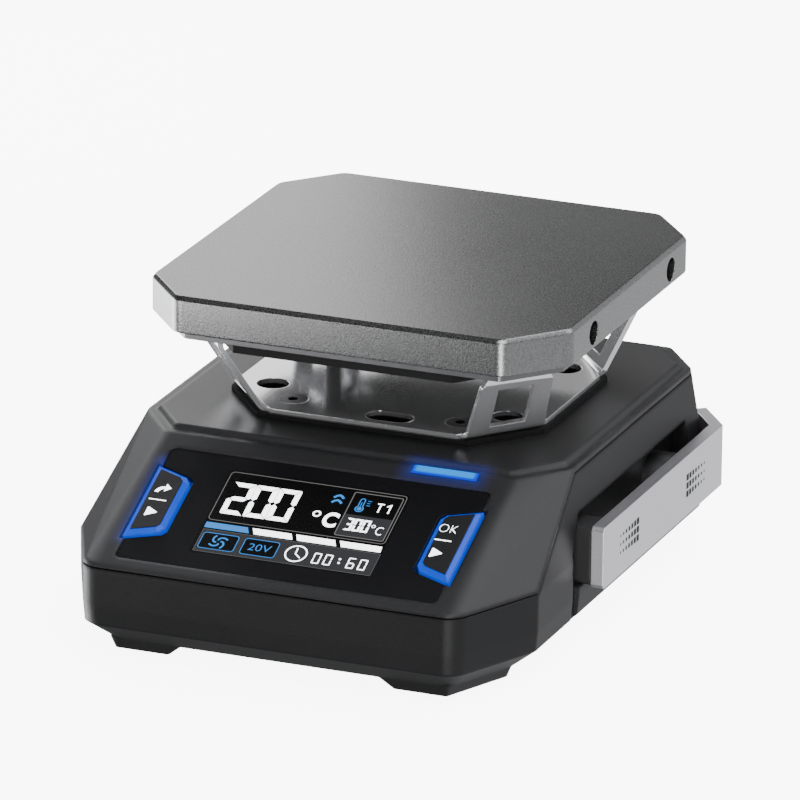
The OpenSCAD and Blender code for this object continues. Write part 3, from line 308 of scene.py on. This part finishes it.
def brushedBar():
    f = Finish("brushedAluminium", metallic=1.0)
    strand = f.noise(barLook["strand"], 3, 0.6, brushed)
    grain = f.noise(barLook["grain"], 2)
    return f.paint(baseColor=f.blend(barLook["grey"], barLook["pale"], strand),
                   roughness=barLook["rough"] + strand * 0.08 + grain * 0.06,
                   normal=f.relief(strand + grain * 0.5, barLook["depth"], barLook["rim"]))


def mirrorSteel():
    f = Finish("mirrorSteel", metallic=mirrorLook["metallic"])
    smear = f.noise(mirrorLook["smear"], 4, 0.6)
    scratch = f.noise(mirrorLook["scratch"], 2, 0.5, (1, 0.05, 1))
    return f.paint(baseColor=f.blend(mirrorLook["grey"], mirrorLook["pale"], smear),
                   roughness=mirrorLook["rough"] + smear * 0.05 + scratch * 0.02,
                   normal=f.relief(scratch, mirrorLook["depth"], mirrorLook["rim"]))


steels = {  # tone and roughness
    "clampSheet": ((0.17, 0.17, 0.175), 0.36),
    "screwSteel": ((0.5, 0.5, 0.52), 0.28),
    "blackOxideScrew": ((0.10, 0.10, 0.105), 0.34),
    "inletShell": ((0.62, 0.62, 0.64), 0.22),
}


def plainSteel(name):
    tone, rough = steels[name]
    f = Finish(name, metallic=1.0)
    smear = f.noise(0.003, 3)
    fine = f.noise(0.00025, 2)
    darker = tuple(part * 0.75 for part in tone)
    return f.paint(baseColor=f.blend(darker, tone, smear), roughness=rough - 0.06 + smear * 0.12,
                   normal=f.relief(fine, 0.000006, 0.0001))


plastics = {  # tone, roughness, size and depth of the grain, rounding of the edges
    "keyFace": ((0.012, 0.012, 0.013), 0.34, 0.0003, 0.000004, 0.0001),
    "padRubber": ((0.016, 0.016, 0.016), 0.78, 0.0004, 0.00003, 0.0002),
    # painted shade: the insulation board is near black so that the band under the plate reads as black shade
    "insulationBoard": ((0.003, 0.003, 0.003), 0.8, 0.0005, 0.00003, 0.0002),
    "heatingFilm": ((0.006, 0.005, 0.004), 0.6, 0.00022, 0.000016, 0.0002),
    "partMoulding": ((0.02, 0.02, 0.022), 0.45, 0.00022, 0.000016, 0.0002),
    "fanMoulding": ((0.018, 0.018, 0.019), 0.5, 0.00022, 0.000016, 0.0002),
    "barInk": ((0.008, 0.008, 0.010), 0.6, 0.0003, 0.000003, 0.0002),
}


def softPlastic(name):
    tone, rough, grainSize, depth, edge = plastics[name]
    f = Finish(name, specularIORLevel=0.3)
    grain = f.noise(grainSize, 2, 0.6)
    cloud = f.noise(0.015, 3)
    lighter = tuple(part * 1.35 + 0.002 for part in tone)
    return f.paint(baseColor=f.blend(tone, lighter, (grain * 0.7 + cloud * 0.5).clamped()),
                   roughness=rough - 0.05 + grain * 0.1 + cloud * 0.06,
                   normal=f.relief(grain, depth, edge))


mould = {  # satin black: dark tone, pale tone, reflection
    "caseCover": ((0.012, 0.012, 0.0126), (0.027, 0.027, 0.0283), 0.28),
    # painted shade: the lower case has the cover's satin black made darker and less glossy, to darken its walls
    "caseBase": ((0.006, 0.006, 0.0063), (0.0145, 0.0145, 0.0152), 0.16),
}
caseLook = {"grain": 0.00024, "cloud": 0.02, "rough": 0.32, "depth": 0.000022, "rim": 0.0009,
            "spill": (0.02, 0.09, 1.0), "falloff": 2.4}
paintedHalo = {"light_bar": (0.0038, 0.17), "left_key": (0.0026, 0.22)}  # reach and strength of the painted light: blue emission on the case near each lit part


def caseFinish(name):  # painted light: a lit key and the light bar tint the case blue near them through its emission colour
    dark, pale, gloss = mould[name]
    f = Finish(name, specularIORLevel=gloss, emissionStrength=1.0)
    grain = f.noise(caseLook["grain"], 3, 0.65)
    cloud = f.noise(caseLook["cloud"], 3)
    x, y, z = f.axes()
    # painted light: the blue spilt from the key and bar is emission on the case itself
    glow = 0.0
    for node, (reach, power) in paintedHalo.items():
        low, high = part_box(node)
        dx = (low.x - x).most(x - high.x).most(0.0)
        dy = (low.y - y).most(y - high.y).most(0.0)
        dz = (low.z - z).most(0.0)
        away = (dx * dx + dy * dy + dz * dz).root()
        glow = glow + (1 - away / reach).clamped() ** caseLook["falloff"] * power
    return f.paint(baseColor=f.blend(dark, pale, (grain * 0.8 + cloud * 0.4).clamped()),
                   emissionColor=f.blend((0, 0, 0), caseLook["spill"], glow),
                   roughness=caseLook["rough"] + grain * 0.1 + cloud * 0.06,
                   normal=f.relief(grain, caseLook["depth"], caseLook["rim"]))


def glassFinish():
    f = Finish("screenGlass", specularIORLevel=0.33)
    wipe = f.noise(0.012, 3)
    dust = f.noise(0.0003, 2)
    return f.paint(baseColor=f.blend((0.006, 0.006, 0.007), (0.009, 0.009, 0.010), wipe),
                   roughness=0.20 + wipe * 0.06 + dust * 0.03, normal=f.relief(dust, 0.000002, 0.0001))


blueLook = {"keyPower": 0.62, "keyDeep": (0.0, 0.05, 0.80), "keyPale": (0.0, 0.12, 1.0),
            "barPower": 1.1, "barDeep": (0.0, 0.015, 0.7), "barCore": (0.0, 0.36, 1.0)}


def litPlastic():
    f = Finish("litBlue", specularIORLevel=0.3, emissionStrength=blueLook["keyPower"])
    cloud = f.noise(0.004, 2)
    return f.paint(baseColor=f.blend((0.0, 0.02, 0.20), (0.0, 0.04, 0.30), cloud),
                   emissionColor=f.blend(blueLook["keyDeep"], blueLook["keyPale"], cloud),
                   roughness=0.30 + cloud * 0.1, normal=f.relief(cloud, 0.00001, 0.00012))


def lightBar():  # brightest along its middle
    f = Finish("lightBarLens", specularIORLevel=0.2, emissionStrength=blueLook["barPower"])
    low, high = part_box("light_bar")
    x, y, z = f.axes()
    inX = (high.x - low.x) / 2 - (x - (low.x + high.x) / 2).size()
    inY = (high.y - low.y) / 2 - (y - (low.y + high.y) / 2).size()
    core = inX.fade(0.0001, 0.0009) * inY.fade(0.0001, 0.0006)
    frost = f.noise(0.0008, 2)
    return f.paint(baseColor=(0.0, 0.03, 0.2), roughness=0.25 + frost * 0.1,
                   emissionColor=f.blend(blueLook["barDeep"], blueLook["barCore"], core * (0.85 + frost * 0.3)))


def printed(name, tone, strength=1.0):  # a lit shape behind the glass
    f = Finish(name, specularIORLevel=0.2, emissionStrength=strength)
    pixels = f.noise(0.0002, 1)
    dimmer = tuple(part * 0.93 for part in tone)
    return f.paint(baseColor=(0.004, 0.004, 0.004), emissionColor=f.blend(dimmer, tone, pixels),
                   roughness=0.25 + pixels * 0.05)


def leadSleeve():
    f = Finish("wovenSleeve")
    weave = f.make("ShaderNodeTexWave", {"bands_direction": "DIAGONAL"},
                   {"Vector": f.place, "Scale": 900.0, "Distortion": 1.0}, out="Fac")
    return f.paint(baseColor=f.blend((0.010, 0.010, 0.010), (0.030, 0.029, 0.028), weave),
                   roughness=0.75 + weave * 0.1, normal=f.relief(weave, 0.00006))


boardLook = {"Scale": 260.0, "Mortar Size": 0.03, "Color1": (0.010, 0.075, 0.035),
             "Color2": (0.012, 0.10, 0.045), "Mortar": (0.03, 0.16, 0.07)}


def boardFinish():
    f = Finish("solderMask")
    tracks = f.make("ShaderNodeTexBrick", {"offset": 0.5}, {"Vector": f.place, **boardLook}, out="Color")
    fine = f.noise(0.0006, 2)
    return f.paint(baseColor=tracks, roughness=0.32 + fine * 0.1, normal=f.relief(fine, 0.00001, 0.0001))


finishes = {
    "plate_aluminium": blastedPlate(),
    "polished_steel": mirrorSteel(),
    "grey_steel": plainSteel("clampSheet"),
    "screw_steel": plainSteel("screwSteel"),
    "dark_screw_steel": plainSteel("blackOxideScrew"),
    "inlet_steel": plainSteel("inletShell"),
    "bar_aluminium": brushedBar(),
    "case_black": caseFinish("caseCover"),
    "glass_black": glassFinish(),
    "blue_light": litPlastic(),
    "key_black": softPlastic("keyFace"),
    "rubber_black": softPlastic("padRubber"),
    "insulation_black": softPlastic("insulationBoard"),
    "film_brown": softPlastic("heatingFilm"),
    "lead_sleeve": leadSleeve(),
    "board_green": boardFinish(),
    "module_black": softPlastic("partMoulding"),
    "fan_black": softPlastic("fanMoulding"),
}
print("finishes made", len(finishes))

for name, piece in frame["nodes"].items():
    for place in range(len(piece.material_slots)):
        plain = piece.material_slots[place].material
        label = plain.name.split(".")[0] if plain else ""
        if label in finishes:
            piece.material_slots[place].material = finishes[label]
        else:
            print("no finish for", name, label)


# smooth copies of the moulded and machined pieces
smoothing = {"nodes": ("top_cover", "lower_case", "side_bar", "support_bracket", "light_bar"),
             "crease": 11.0, "faint": 1.2, "flat": 0.3,  # degrees: sharp edge, faint edge, same flat
             "flatWidth": 1.1, "dotBed": 0.006}  # mm
ownFinish = {"light_bar": lightBar(), "lower_case": caseFinish("caseBase")}


def markCreases(form):  # an edge is sharp past an angle, or where two wide flats meet
    group = {}
    areas = []
    for first in form.faces:
        if first in group:
            continue
        group[first], queue, area = len(areas), [first], 0.0
        while queue:
            face = queue.pop()
            area += face.calc_area()
            for edge in face.edges:
                for other in edge.link_faces:
                    if other not in group and face.normal.angle(other.normal, 9) < radians(smoothing["flat"]):
                        group[other] = len(areas)
                        queue.append(other)
        areas.append(area)
    faint, shared = [], {}
    for edge in form.edges:
        if len(edge.link_faces) != 2:
            continue
        turn = edge.calc_face_angle(0)
        edge.smooth = turn < radians(smoothing["crease"])
        if radians(smoothing["faint"]) < turn < radians(smoothing["crease"]):
            pair = tuple(sorted(group[face] for face in edge.link_faces))
            shared[pair] = shared.get(pair, 0) + edge.calc_length()
            faint.append((edge, pair))
    for edge, pair in faint:
        if min(areas[pair[0]], areas[pair[1]]) / shared[pair] > smoothing["flatWidth"] * mm:
            edge.smooth = False


def smoothCopy(node):
    source = frame["nodes"][node]
    mesh = source.data.copy()
    form = bmesh.new()
    form.from_mesh(mesh)
    bmesh.ops.remove_doubles(form, verts=form.verts, dist=2e-6)
    bmesh.ops.dissolve_degenerate(form, edges=form.edges, dist=1e-6)
    for face in form.faces:
        face.smooth = True
    if node == "side_bar":  # its outer face goes in by a hair, so that the dots lie on it inside the box
        for corner in form.verts:
            corner.co.x = min(corner.co.x, cadHigh.x - smoothing["dotBed"] * mm)
    form.normal_update()
    markCreases(form)
    form.to_mesh(mesh)
    form.free()
    copy = placed(node + "Shell", mesh)
    ready = evenShading(copy)
    if node in ownFinish:
        ready.materials[0] = ownFinish[node]
    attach(copy, body_of(source)[0])
    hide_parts(node)


for node in smoothing["nodes"]:
    smoothCopy(node)
print("shells smoothed", len(smoothing["nodes"]))


# the plate, with its upright corners rounded and its rims broken, in mm
plateForm = {"cutX": 7.8, "cutY": 9.4, "cornerRound": 2.8, "steps": 10, "crease": 24,  # crease in degrees
             "holeWide": 3.8, "holeDeep": 5.0, "holeApart": 34.3, "holeBack": 1.0, "holeUp": 2.6, "past": 1.0,
             "lowRings": ((0.0, 0.3), (0.09, 0.09), (0.3, 0.0)),  # each ring's height and inset
             "highRings": ((-0.75, 0.0), (-0.60, 0.06), (-0.12, 0.42), (0.0, 0.62))}


def plateOutline(inset):  # rounded eight-sided loop, drawn in by inset
    w, d = (plateHigh.x - plateLow.x) / 2 / mm, (plateHigh.y - plateLow.y) / 2 / mm
    inX, inY, r = w - plateForm["cutX"], d - plateForm["cutY"], plateForm["cornerRound"]
    corners = [(w, -inY), (w, inY), (inX, d), (-inX, d), (-w, inY), (-w, -inY), (-inX, -d), (inX, -d)]
    points = []
    for k, corner in enumerate(corners):
        here = Vector(corner)
        into = (here - Vector(corners[k - 1])).normalized()
        out = (Vector(corners[(k + 1) % 8]) - here).normalized()
        start, end = Vector((into.y, -into.x)), Vector((out.y, -out.x))  # outward normals of both sides
        centre = here - (start + end) * r / (1 + start.dot(end))
        for step in range(plateForm["steps"] + 1):
            way = start.slerp(end, step / plateForm["steps"])
            points.append(centre + way * (r - inset))
    return points


def drillFor(side):  # a bore along X into the right side
    past, r = plateForm["past"], plateForm["holeWide"] / 2 * mm
    place = (plateHigh.x - (plateForm["holeDeep"] / 2 - past) * mm,
             middle.y + (plateForm["holeBack"] + side * plateForm["holeApart"] / 2) * mm,
             plateLow.z + plateForm["holeUp"] * mm)
    form = bmesh.new()
    bmesh.ops.create_cone(form, cap_ends=True, segments=48, radius1=r, radius2=r,
                          depth=(plateForm["holeDeep"] + 2 * past) * mm,
                          matrix=Matrix.Translation(place) @ Matrix.Rotation(radians(90), 4, "Y"))
    mesh = bpy.data.meshes.new("drill")
    form.to_mesh(mesh)
    form.free()
    return placed("drill", mesh)


def makePlate():
    rings = [(plateLow.z + up * mm, inset) for up, inset in plateForm["lowRings"]]
    rings += [(plateHigh.z + up * mm, inset) for up, inset in plateForm["highRings"]]
    form = bmesh.new()
    loops = [[form.verts.new((middle.x + p.x * mm, middle.y + p.y * mm, z)) for p in plateOutline(inset)]
             for z, inset in rings]
    count = len(loops[0])
    for low, high in zip(loops, loops[1:]):
        for k in range(count):
            form.faces.new((low[k], low[(k + 1) % count], high[(k + 1) % count], high[k]))
    form.faces.new(list(reversed(loops[0])))
    form.faces.new(loops[-1])
    mesh = bpy.data.meshes.new("plateForm")
    form.to_mesh(mesh)
    form.free()
    plate = placed("heatingPlate", mesh)
    drills = [drillFor(side) for side in (-1, 1)]
    for drill in drills:
        cut = plate.modifiers.new("hole", "BOOLEAN")
        cut.operation, cut.object, cut.solver = "DIFFERENCE", drill, "EXACT"
    ready = applied(plate)
    for drill in drills:
        bpy.data.objects.remove(drill)
    ready.shade_smooth()
    ready.set_sharp_from_angle(angle=radians(plateForm["crease"]))
    ready = evenShading(plate)
    ready.materials.clear()
    ready.materials.append(finishes["plate_aluminium"])
    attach(plate, "case")
    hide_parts("heating_plate")


makePlate()
print("plate formed")


# flat shapes as lists of loops, in mm: x to the right, s down the slope
slopeAngle = radians(24.7636)
slopeOut = Vector((0, -sin(slopeAngle), cos(slopeAngle)))
glassLow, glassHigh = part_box("display_glass")
glass = {"thick": 1.0, "sink": 0.15, "top": 3.3}  # as in the CAD: thickness, depth in the frame, top edge
glassAt = Vector(((glassLow.x + glassHigh.x) / 2, glassHigh.y - glass["thick"] * mm * sin(slopeAngle), glassHigh.z))


def onSlope(x, s, n):  # x across, s down from the slope's top edge, n out of it, all in mm
    down, out = (s - glass["top"]) * mm, (n + glass["sink"]) * mm
    return glassAt + Vector((x * mm, -down * cos(slopeAngle) - out * sin(slopeAngle),
                             -down * sin(slopeAngle) + out * cos(slopeAngle)))


def box(x0, s0, x1, s1, lean=0.0):
    return [[(x0, s0), (x1, s0), (x1 + lean, s1), (x0 + lean, s1)]]


def roundLoop(x0, s0, x1, s1, r, steps=5):
    points = []
    for cx, cs, start in ((x1 - r, s0 + r, -90), (x1 - r, s1 - r, 0), (x0 + r, s1 - r, 90), (x0 + r, s0 + r, 180)):
        for k in range(steps + 1):
            turn = radians(start + 90 * k / steps)
            points.append((cx + r * cos(turn), cs + r * sin(turn)))
    return points


def arcLoop(cx, cs, r, start=0, end=360, steps=32, flat=1.0):
    count = steps if end - start == 360 else steps + 1
    turns = [radians(start + (end - start) * k / steps) for k in range(count)]
    return [(cx + r * cos(turn), cs + r * flat * sin(turn)) for turn in turns]


def band(outer, inner, closed=True):  # a strip of four-sided faces between two loops
    count = len(outer)
    last = count if closed else count - 1
    return [[outer[k], outer[(k + 1) % count], inner[(k + 1) % count], inner[k]] for k in range(last)]


def outline(x0, s0, x1, s1, r, width):
    inner = roundLoop(x0 + width, s0 + width, x1 - width, s1 - width, max(r - width, 0.05))
    return band(roundLoop(x0, s0, x1, s1, r), inner)


def ring(cx, cs, r, width):
    return band(arcLoop(cx, cs, r), arcLoop(cx, cs, r - width))


def arc(cx, cs, r, width, start, end):
    return band(arcLoop(cx, cs, r, start, end, 14), arcLoop(cx, cs, r - width, start, end, 14), False)


def stroke(points, width):  # a line of even width with mitred bends
    left, right = [], []
    for k, point in enumerate(points):
        here, last = Vector(point), k == len(points) - 1
        before, after = Vector(points[max(k - 1, 0)]), Vector(points[k if last else k + 1])
        into = (here - before).normalized() if k else (after - here).normalized()
        out = into if last else (after - here).normalized()
        across = Vector((-(into + out).y, (into + out).x)).normalized()
        reach = width / 2 / max(0.35, across.dot(Vector((-into.y, into.x))))  # a sharp bend is cut short
        left.append(tuple(here + across * reach))
        right.append(tuple(here - across * reach))
    return band(left, right, False)


def softTriangle(points, r, steps=4):  # a triangle with rounded corners
    corners = []
    for k in range(3):
        a, b, c = Vector(points[k - 1]), Vector(points[k]), Vector(points[(k + 1) % 3])
        start, end = b + (a - b).normalized() * r, b + (c - b).normalized() * r
        for step in range(steps + 1):
            t = step / steps
            corners.append(tuple(start * (1 - t) ** 2 + b * 2 * t * (1 - t) + end * t * t))
    return [corners]


lit = {"0": "abcdef", "2": "abged", "3": "abgcd", "6": "afgedc"}  # segments of each figure


def digit(mark, x, s, w, h, t, gap=0.17):  # seven-segment figure, t thick
    g, slant = gap / 2, t * 0.4
    right, low, waist = x + w, s + h, s + h / 2
    segments = {
        "a": [(x + g, s), (right - g, s), (right - t - g, s + t), (x + t + g, s + t)],
        "b": [(right, s + g), (right, waist - slant - g), (right - slant, waist - g),
              (right - t, waist - t / 2 - g), (right - t, s + t + g)],
        "c": [(right - slant, waist + g), (right, waist + slant + g), (right, low - g),
              (right - t, low - t - g), (right - t, waist + t / 2 + g)],
        "d": [(x + t + g, low - t), (right - t - g, low - t), (right - g, low), (x + g, low)],
        "e": [(x, waist + slant + g), (x + slant, waist + g), (x + t, waist + t / 2 + g),
              (x + t, low - t - g), (x, low - g)],
        "f": [(x, s + g), (x + t, s + t + g), (x + t, waist - t / 2 - g), (x + slant, waist - g),
              (x, waist - slant - g)],
        "g": [(x + t / 2 + g, waist), (x + t + g, waist - t / 2), (right - t - g, waist - t / 2),
              (right - t / 2 - g, waist), (right - t - g, waist + t / 2), (x + t + g, waist + t / 2)],
    }
    return [segments[letter] for letter in lit[mark]]


def word(text, x, s, height, width, weight):  # letters fitted to a box whose top left corner is x, s
    letters = bpy.data.curves.new("letters", "FONT")
    letters.body, letters.size, letters.offset, letters.resolution_u = text, 1.0, weight, 6
    piece = placed("letters", letters)
    bpy.context.view_layer.update()
    mesh = meshOf(piece)
    xs, ys = [v.co.x for v in mesh.vertices], [v.co.y for v in mesh.vertices]
    kx, ky = width / (max(xs) - min(xs)), height / (max(ys) - min(ys))
    spots = [(x + (v.co.x - min(xs)) * kx, s + (max(ys) - v.co.y) * ky) for v in mesh.vertices]
    shapes = [[spots[k] for k in polygon.vertices] for polygon in mesh.polygons]
    bpy.data.objects.remove(piece)
    bpy.data.meshes.remove(mesh)
    return shapes


def layOn(name, shapes, height, finish, body="case"):
    verts, faces = [], []
    for points in shapes:
        faces.append(list(range(len(verts), len(verts) + len(points))))
        verts += [tuple(onSlope(x, s, height)) for x, s in points]
    mesh = bpy.data.meshes.new(name)
    mesh.from_pydata(verts, [], faces)
    form = bmesh.new()
    form.from_mesh(mesh)
    bmesh.ops.remove_doubles(form, verts=form.verts, dist=1e-7)
    bmesh.ops.triangulate(form, faces=form.faces)
    for face in form.faces:
        face.normal_update()
        if face.normal.dot(slopeOut) < 0:
            face.normal_flip()
    form.to_mesh(mesh)
    form.free()
    mesh.materials.append(finish)
    piece = placed(name, mesh)
    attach(piece, body)


# the screen: layers of lit shapes on the glass
screen = {"height": -0.13, "layer": 0.02, "line": 0.13, "segment": 0.88, "digitWide": 3.7, "digitTall": 7.05,
          "digitStep": 3.78, "smallStep": 1.37}
screenInk = {"white": printed("screenWhite", (0.95, 0.96, 1.0), 5.0),
             "blue": printed("screenBlue", (0.06, 0.36, 1.0), 1.1),
             "grey": printed("screenGrey", (0.046, 0.048, 0.053), 1.0),
             "line": printed("screenLine", (0.25, 0.245, 0.245), 1.0),
             "black": printed("screenBlack", (0.0004, 0.0004, 0.0004), 0.0)}
iconBoxes = ((-14.6, 20.3, -8.6, 23.85, 0.55), (-7.65, 20.35, -1.85, 23.9, 0.55))  # fan, voltage


def onScreen(name, shapes, layer, ink):
    layOn(name, shapes, screen["height"] + layer * screen["layer"], screenInk[ink])


def whiteFigures():
    wide, tall, thick = screen["digitWide"], screen["digitTall"], screen["segment"]
    shapes = []
    for k, mark in enumerate("200"):
        shapes += digit(mark, -13.85 + k * screen["digitStep"], 8.8, wide, tall, thick)
    shapes += ring(1.3, 13.05, 0.68, 0.27) + word("C", 2.65, 12.3, 3.3, 2.4, 0.035)
    for k, mark in enumerate("300"):
        shapes += digit(mark, 6.45 + k * screen["smallStep"], 12.95, 1.25, 2.7, 0.36, 0.05)
    shapes += ring(11.05, 14.05, 0.33, 0.12) + word("C", 11.7, 14.0, 1.75, 1.1, -0.012)
    shapes += box(10.0, 9.0, 11.1, 9.22) + box(10.44, 9.0, 10.67, 10.95)  # T
    shapes += stroke([(11.62, 9.5), (12.2, 9.12), (12.2, 10.95)], 0.23)  # 1
    shapes += box(-7.4, 18.1, -1.0, 19.35, 0.6) + box(-0.2, 18.1, 6.2, 19.35, 0.6)  # bars
    shapes += [[(7.0, 18.1), (13.95, 18.1), (14.1, 19.35), (7.6, 19.35)]]
    shapes += ring(1.27, 22.15, 1.82, 0.24) + stroke([(1.15, 20.9), (1.2, 22.2), (2.15, 22.95)], 0.2)  # clock
    for mark, x in (("0", 4.18), ("0", 6.03), ("6", 9.83), ("0", 11.73)):
        shapes += digit(mark, x, 21.35, 1.22, 2.3, 0.2, 0.07)
    return shapes + box(8.28, 21.8, 8.62, 22.14) + box(8.34, 22.62, 8.68, 22.96)


def fanBlade(start, steps=8):  # leaves the middle and curls back
    points = []
    for k in range(steps + 1):
        turn = radians(start - 20 + 85 * (k / steps) ** 1.2)
        r = 0.35 + 1.15 * (k / steps) ** 0.8
        points.append((-11.62 + r * cos(turn), 22.08 + r * 0.95 * sin(turn)))
    return stroke(points, 0.3)


def blueMarks():
    shapes = [[(-15.05, 18.1), (-8.2, 18.1), (-7.6, 19.35), (-15.05, 19.35)]]
    for start in (0, 90, 180, 270):
        shapes += fanBlade(start)
    shapes += arc(7.43, 10.75, 0.74, 0.2, -60, 240) + [arcLoop(7.43, 10.75, 0.4, steps=24)]  # thermometer
    shapes += stroke([(7.06, 10.15), (7.06, 8.8), (7.2, 8.56), (7.43, 8.5),
                      (7.66, 8.56), (7.8, 8.8), (7.8, 10.15)], 0.18)
    shapes += box(7.36, 9.3, 7.5, 10.6)
    for end, s in ((8.9, 8.8), (8.78, 9.3), (8.9, 9.8)):
        shapes += box(8.25, s, end, s + 0.14)
    for corners in iconBoxes:
        shapes += outline(*corners, screen["line"])
    shapes += word("20V", -6.6, 21.35, 1.5, 3.7, -0.008)
    for s in (8.25, 9.35):  # two chevrons
        bends = [(2.65, s + 0.85), (3.05, s + 0.42), (3.48, s + 0.22), (3.9, s + 0.42), (4.3, s + 0.85)]
        shapes += stroke(bends, 0.42)
    return shapes


def drawScreen():
    onScreen("screenPanel", [roundLoop(-15.5, 6.3, 14.4, 17.8, 0.7)] + box(-15.5, 17.5, 14.4, 24.75), 0, "black")
    onScreen("screenFrames", outline(-15.2, 6.6, 14.1, 17.55, 0.7, screen["line"])
             + outline(5.5, 7.2, 13.65, 17.0, 0.35, 0.16) + outline(-15.0, 19.62, 14.3, 24.55, 0.1, 0.06), 1, "line")
    onScreen("screenStrip", box(-14.95, 19.68, 14.25, 24.5) + box(5.7, 12.15, 13.45, 16.8), 1, "grey")
    onScreen("screenBoxes", [roundLoop(*corners) for corners in iconBoxes], 2, "black")
    onScreen("screenFigures", whiteFigures(), 2, "white")
    onScreen("screenBlueMarks", blueMarks(), 3, "blue")


drawScreen()
print("screen drawn")


# key legends
keyMarks = {"height": 0.72, "leftMiddle": -24.1, "rightMiddle": 23.05, "round": 0.3}


def markKey(name, shapes, key):
    layOn(name, shapes, keyMarks["height"], screenInk["white"], key)


def drawKeys():
    c = keyMarks["leftMiddle"]
    outer, inner = arcLoop(c + 0.3, 14.1, 1.42, 180, 275, 12, 0.95), arcLoop(c + 0.4, 14.1, 0.85, 180, 272, 12)
    bend = band(outer, inner, False)
    head = [[(c + 0.3, 12.1), (c + 1.35, 12.98), (c + 0.35, 13.82)]]
    play = softTriangle([(c - 0.85, 17.4), (c + 1.1, 18.45), (c - 0.85, 19.55)], keyMarks["round"])
    markKey("leftKeyMarks", bend + head + [roundLoop(c - 1.4, 15.64, c + 1.5, 15.86, 0.1)] + play, "left_key")
    c = keyMarks["rightMiddle"]
    play = softTriangle([(c - 0.9, 17.4), (c + 1.1, 18.45), (c - 0.9, 19.6)], keyMarks["round"])
    markKey("rightKeyMarks", word("OK", c - 1.4, 12.15, 1.7, 2.95, -0.028)
            + [roundLoop(c - 1.3, 15.5, c + 1.45, 15.74, 0.1)] + play, "right_key")


drawKeys()
print("keys marked")


# dot pattern on the side bar, by geometry nodes, in mm
dots = {"columns": 7, "rows": 3, "length": 7.6, "height": 2.78, "small": 0.4, "large": 1.06,
        "frontAt": 16.2, "rearAt": 13.8, "sink": 0.001}
barLow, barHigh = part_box("side_bar")


def dotTree():  # a grid of squares that grow along its length
    tree = bpy.data.node_groups.new("barDots", "GeometryNodeTree")
    tree.interface.new_socket("Geometry", in_out="OUTPUT", socket_type="NodeSocketGeometry")
    for name, kind in (("Columns", "Int"), ("Rows", "Int"), ("Length", "Float"), ("Height", "Float"),
                       ("Small", "Float"), ("Large", "Float"), ("Ink", "Material")):
        tree.interface.new_socket(name, in_out="INPUT", socket_type="NodeSocket" + kind)
    g = Nodes(tree)
    start = tree.nodes.new("NodeGroupInput")
    given = {socket.name: Wire(tree, socket) for socket in start.outputs}
    grid = g.make("GeometryNodeMeshGrid", None, {"Size X": given["Length"], "Size Y": given["Height"],
                                                 "Vertices X": given["Columns"], "Vertices Y": given["Rows"]})
    square = g.make("GeometryNodeMeshGrid", None, {"Size X": 1.0, "Size Y": 1.0, "Vertices X": 2, "Vertices Y": 2})
    along = g.make("ShaderNodeSeparateXYZ", None, {0: g.make("GeometryNodeInputPosition")})
    size = g.make("ShaderNodeMapRange", None, {
        "Value": along, "From Min": given["Length"] * -0.5, "From Max": given["Length"] * 0.5,
        "To Min": given["Small"], "To Max": given["Large"]})
    copies = g.make("GeometryNodeInstanceOnPoints", None, {"Points": grid, "Instance": square, "Scale": size})
    real = g.make("GeometryNodeRealizeInstances", None, {0: copies})
    inked = g.make("GeometryNodeSetMaterial", None, {"Geometry": real, "Material": given["Ink"]})
    g.feed(tree.nodes.new("NodeGroupOutput").inputs[0], inked)
    return tree


def dotGroup(name, tree, ink, centreY, growBack):
    given = {"Columns": dots["columns"], "Rows": dots["rows"], "Ink": ink}
    for label in ("length", "height", "small", "large"):
        given[label.title()] = dots[label] * mm
    piece = placed(name, bpy.data.meshes.new(name))
    modifier = piece.modifiers.new("dots", "NODES")
    modifier.node_group = tree
    for item in tree.interface.items_tree:
        if item.in_out == "INPUT":
            modifier[item.identifier] = given[item.name]
    ready = applied(piece)
    turn = Matrix(((0, 0, 1), (growBack, 0, 0), (0, growBack, 0))).to_4x4()  # x along the bar, y up
    place = (barHigh.x - dots["sink"] * mm, centreY, (barLow.z + barHigh.z) / 2)
    ready.transform(Matrix.Translation(place) @ turn)
    for polygon in ready.polygons:
        if polygon.normal.x < 0:
            polygon.flip()
    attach(piece, "case")


dotNodes = dotTree()
dotInk = softPlastic("barInk")
dotGroup("frontDots", dotNodes, dotInk, middle.y - dots["frontAt"] * mm, 1)
dotGroup("rearDots", dotNodes, dotInk, middle.y + dots["rearAt"] * mm, -1)
print("bar dotted")
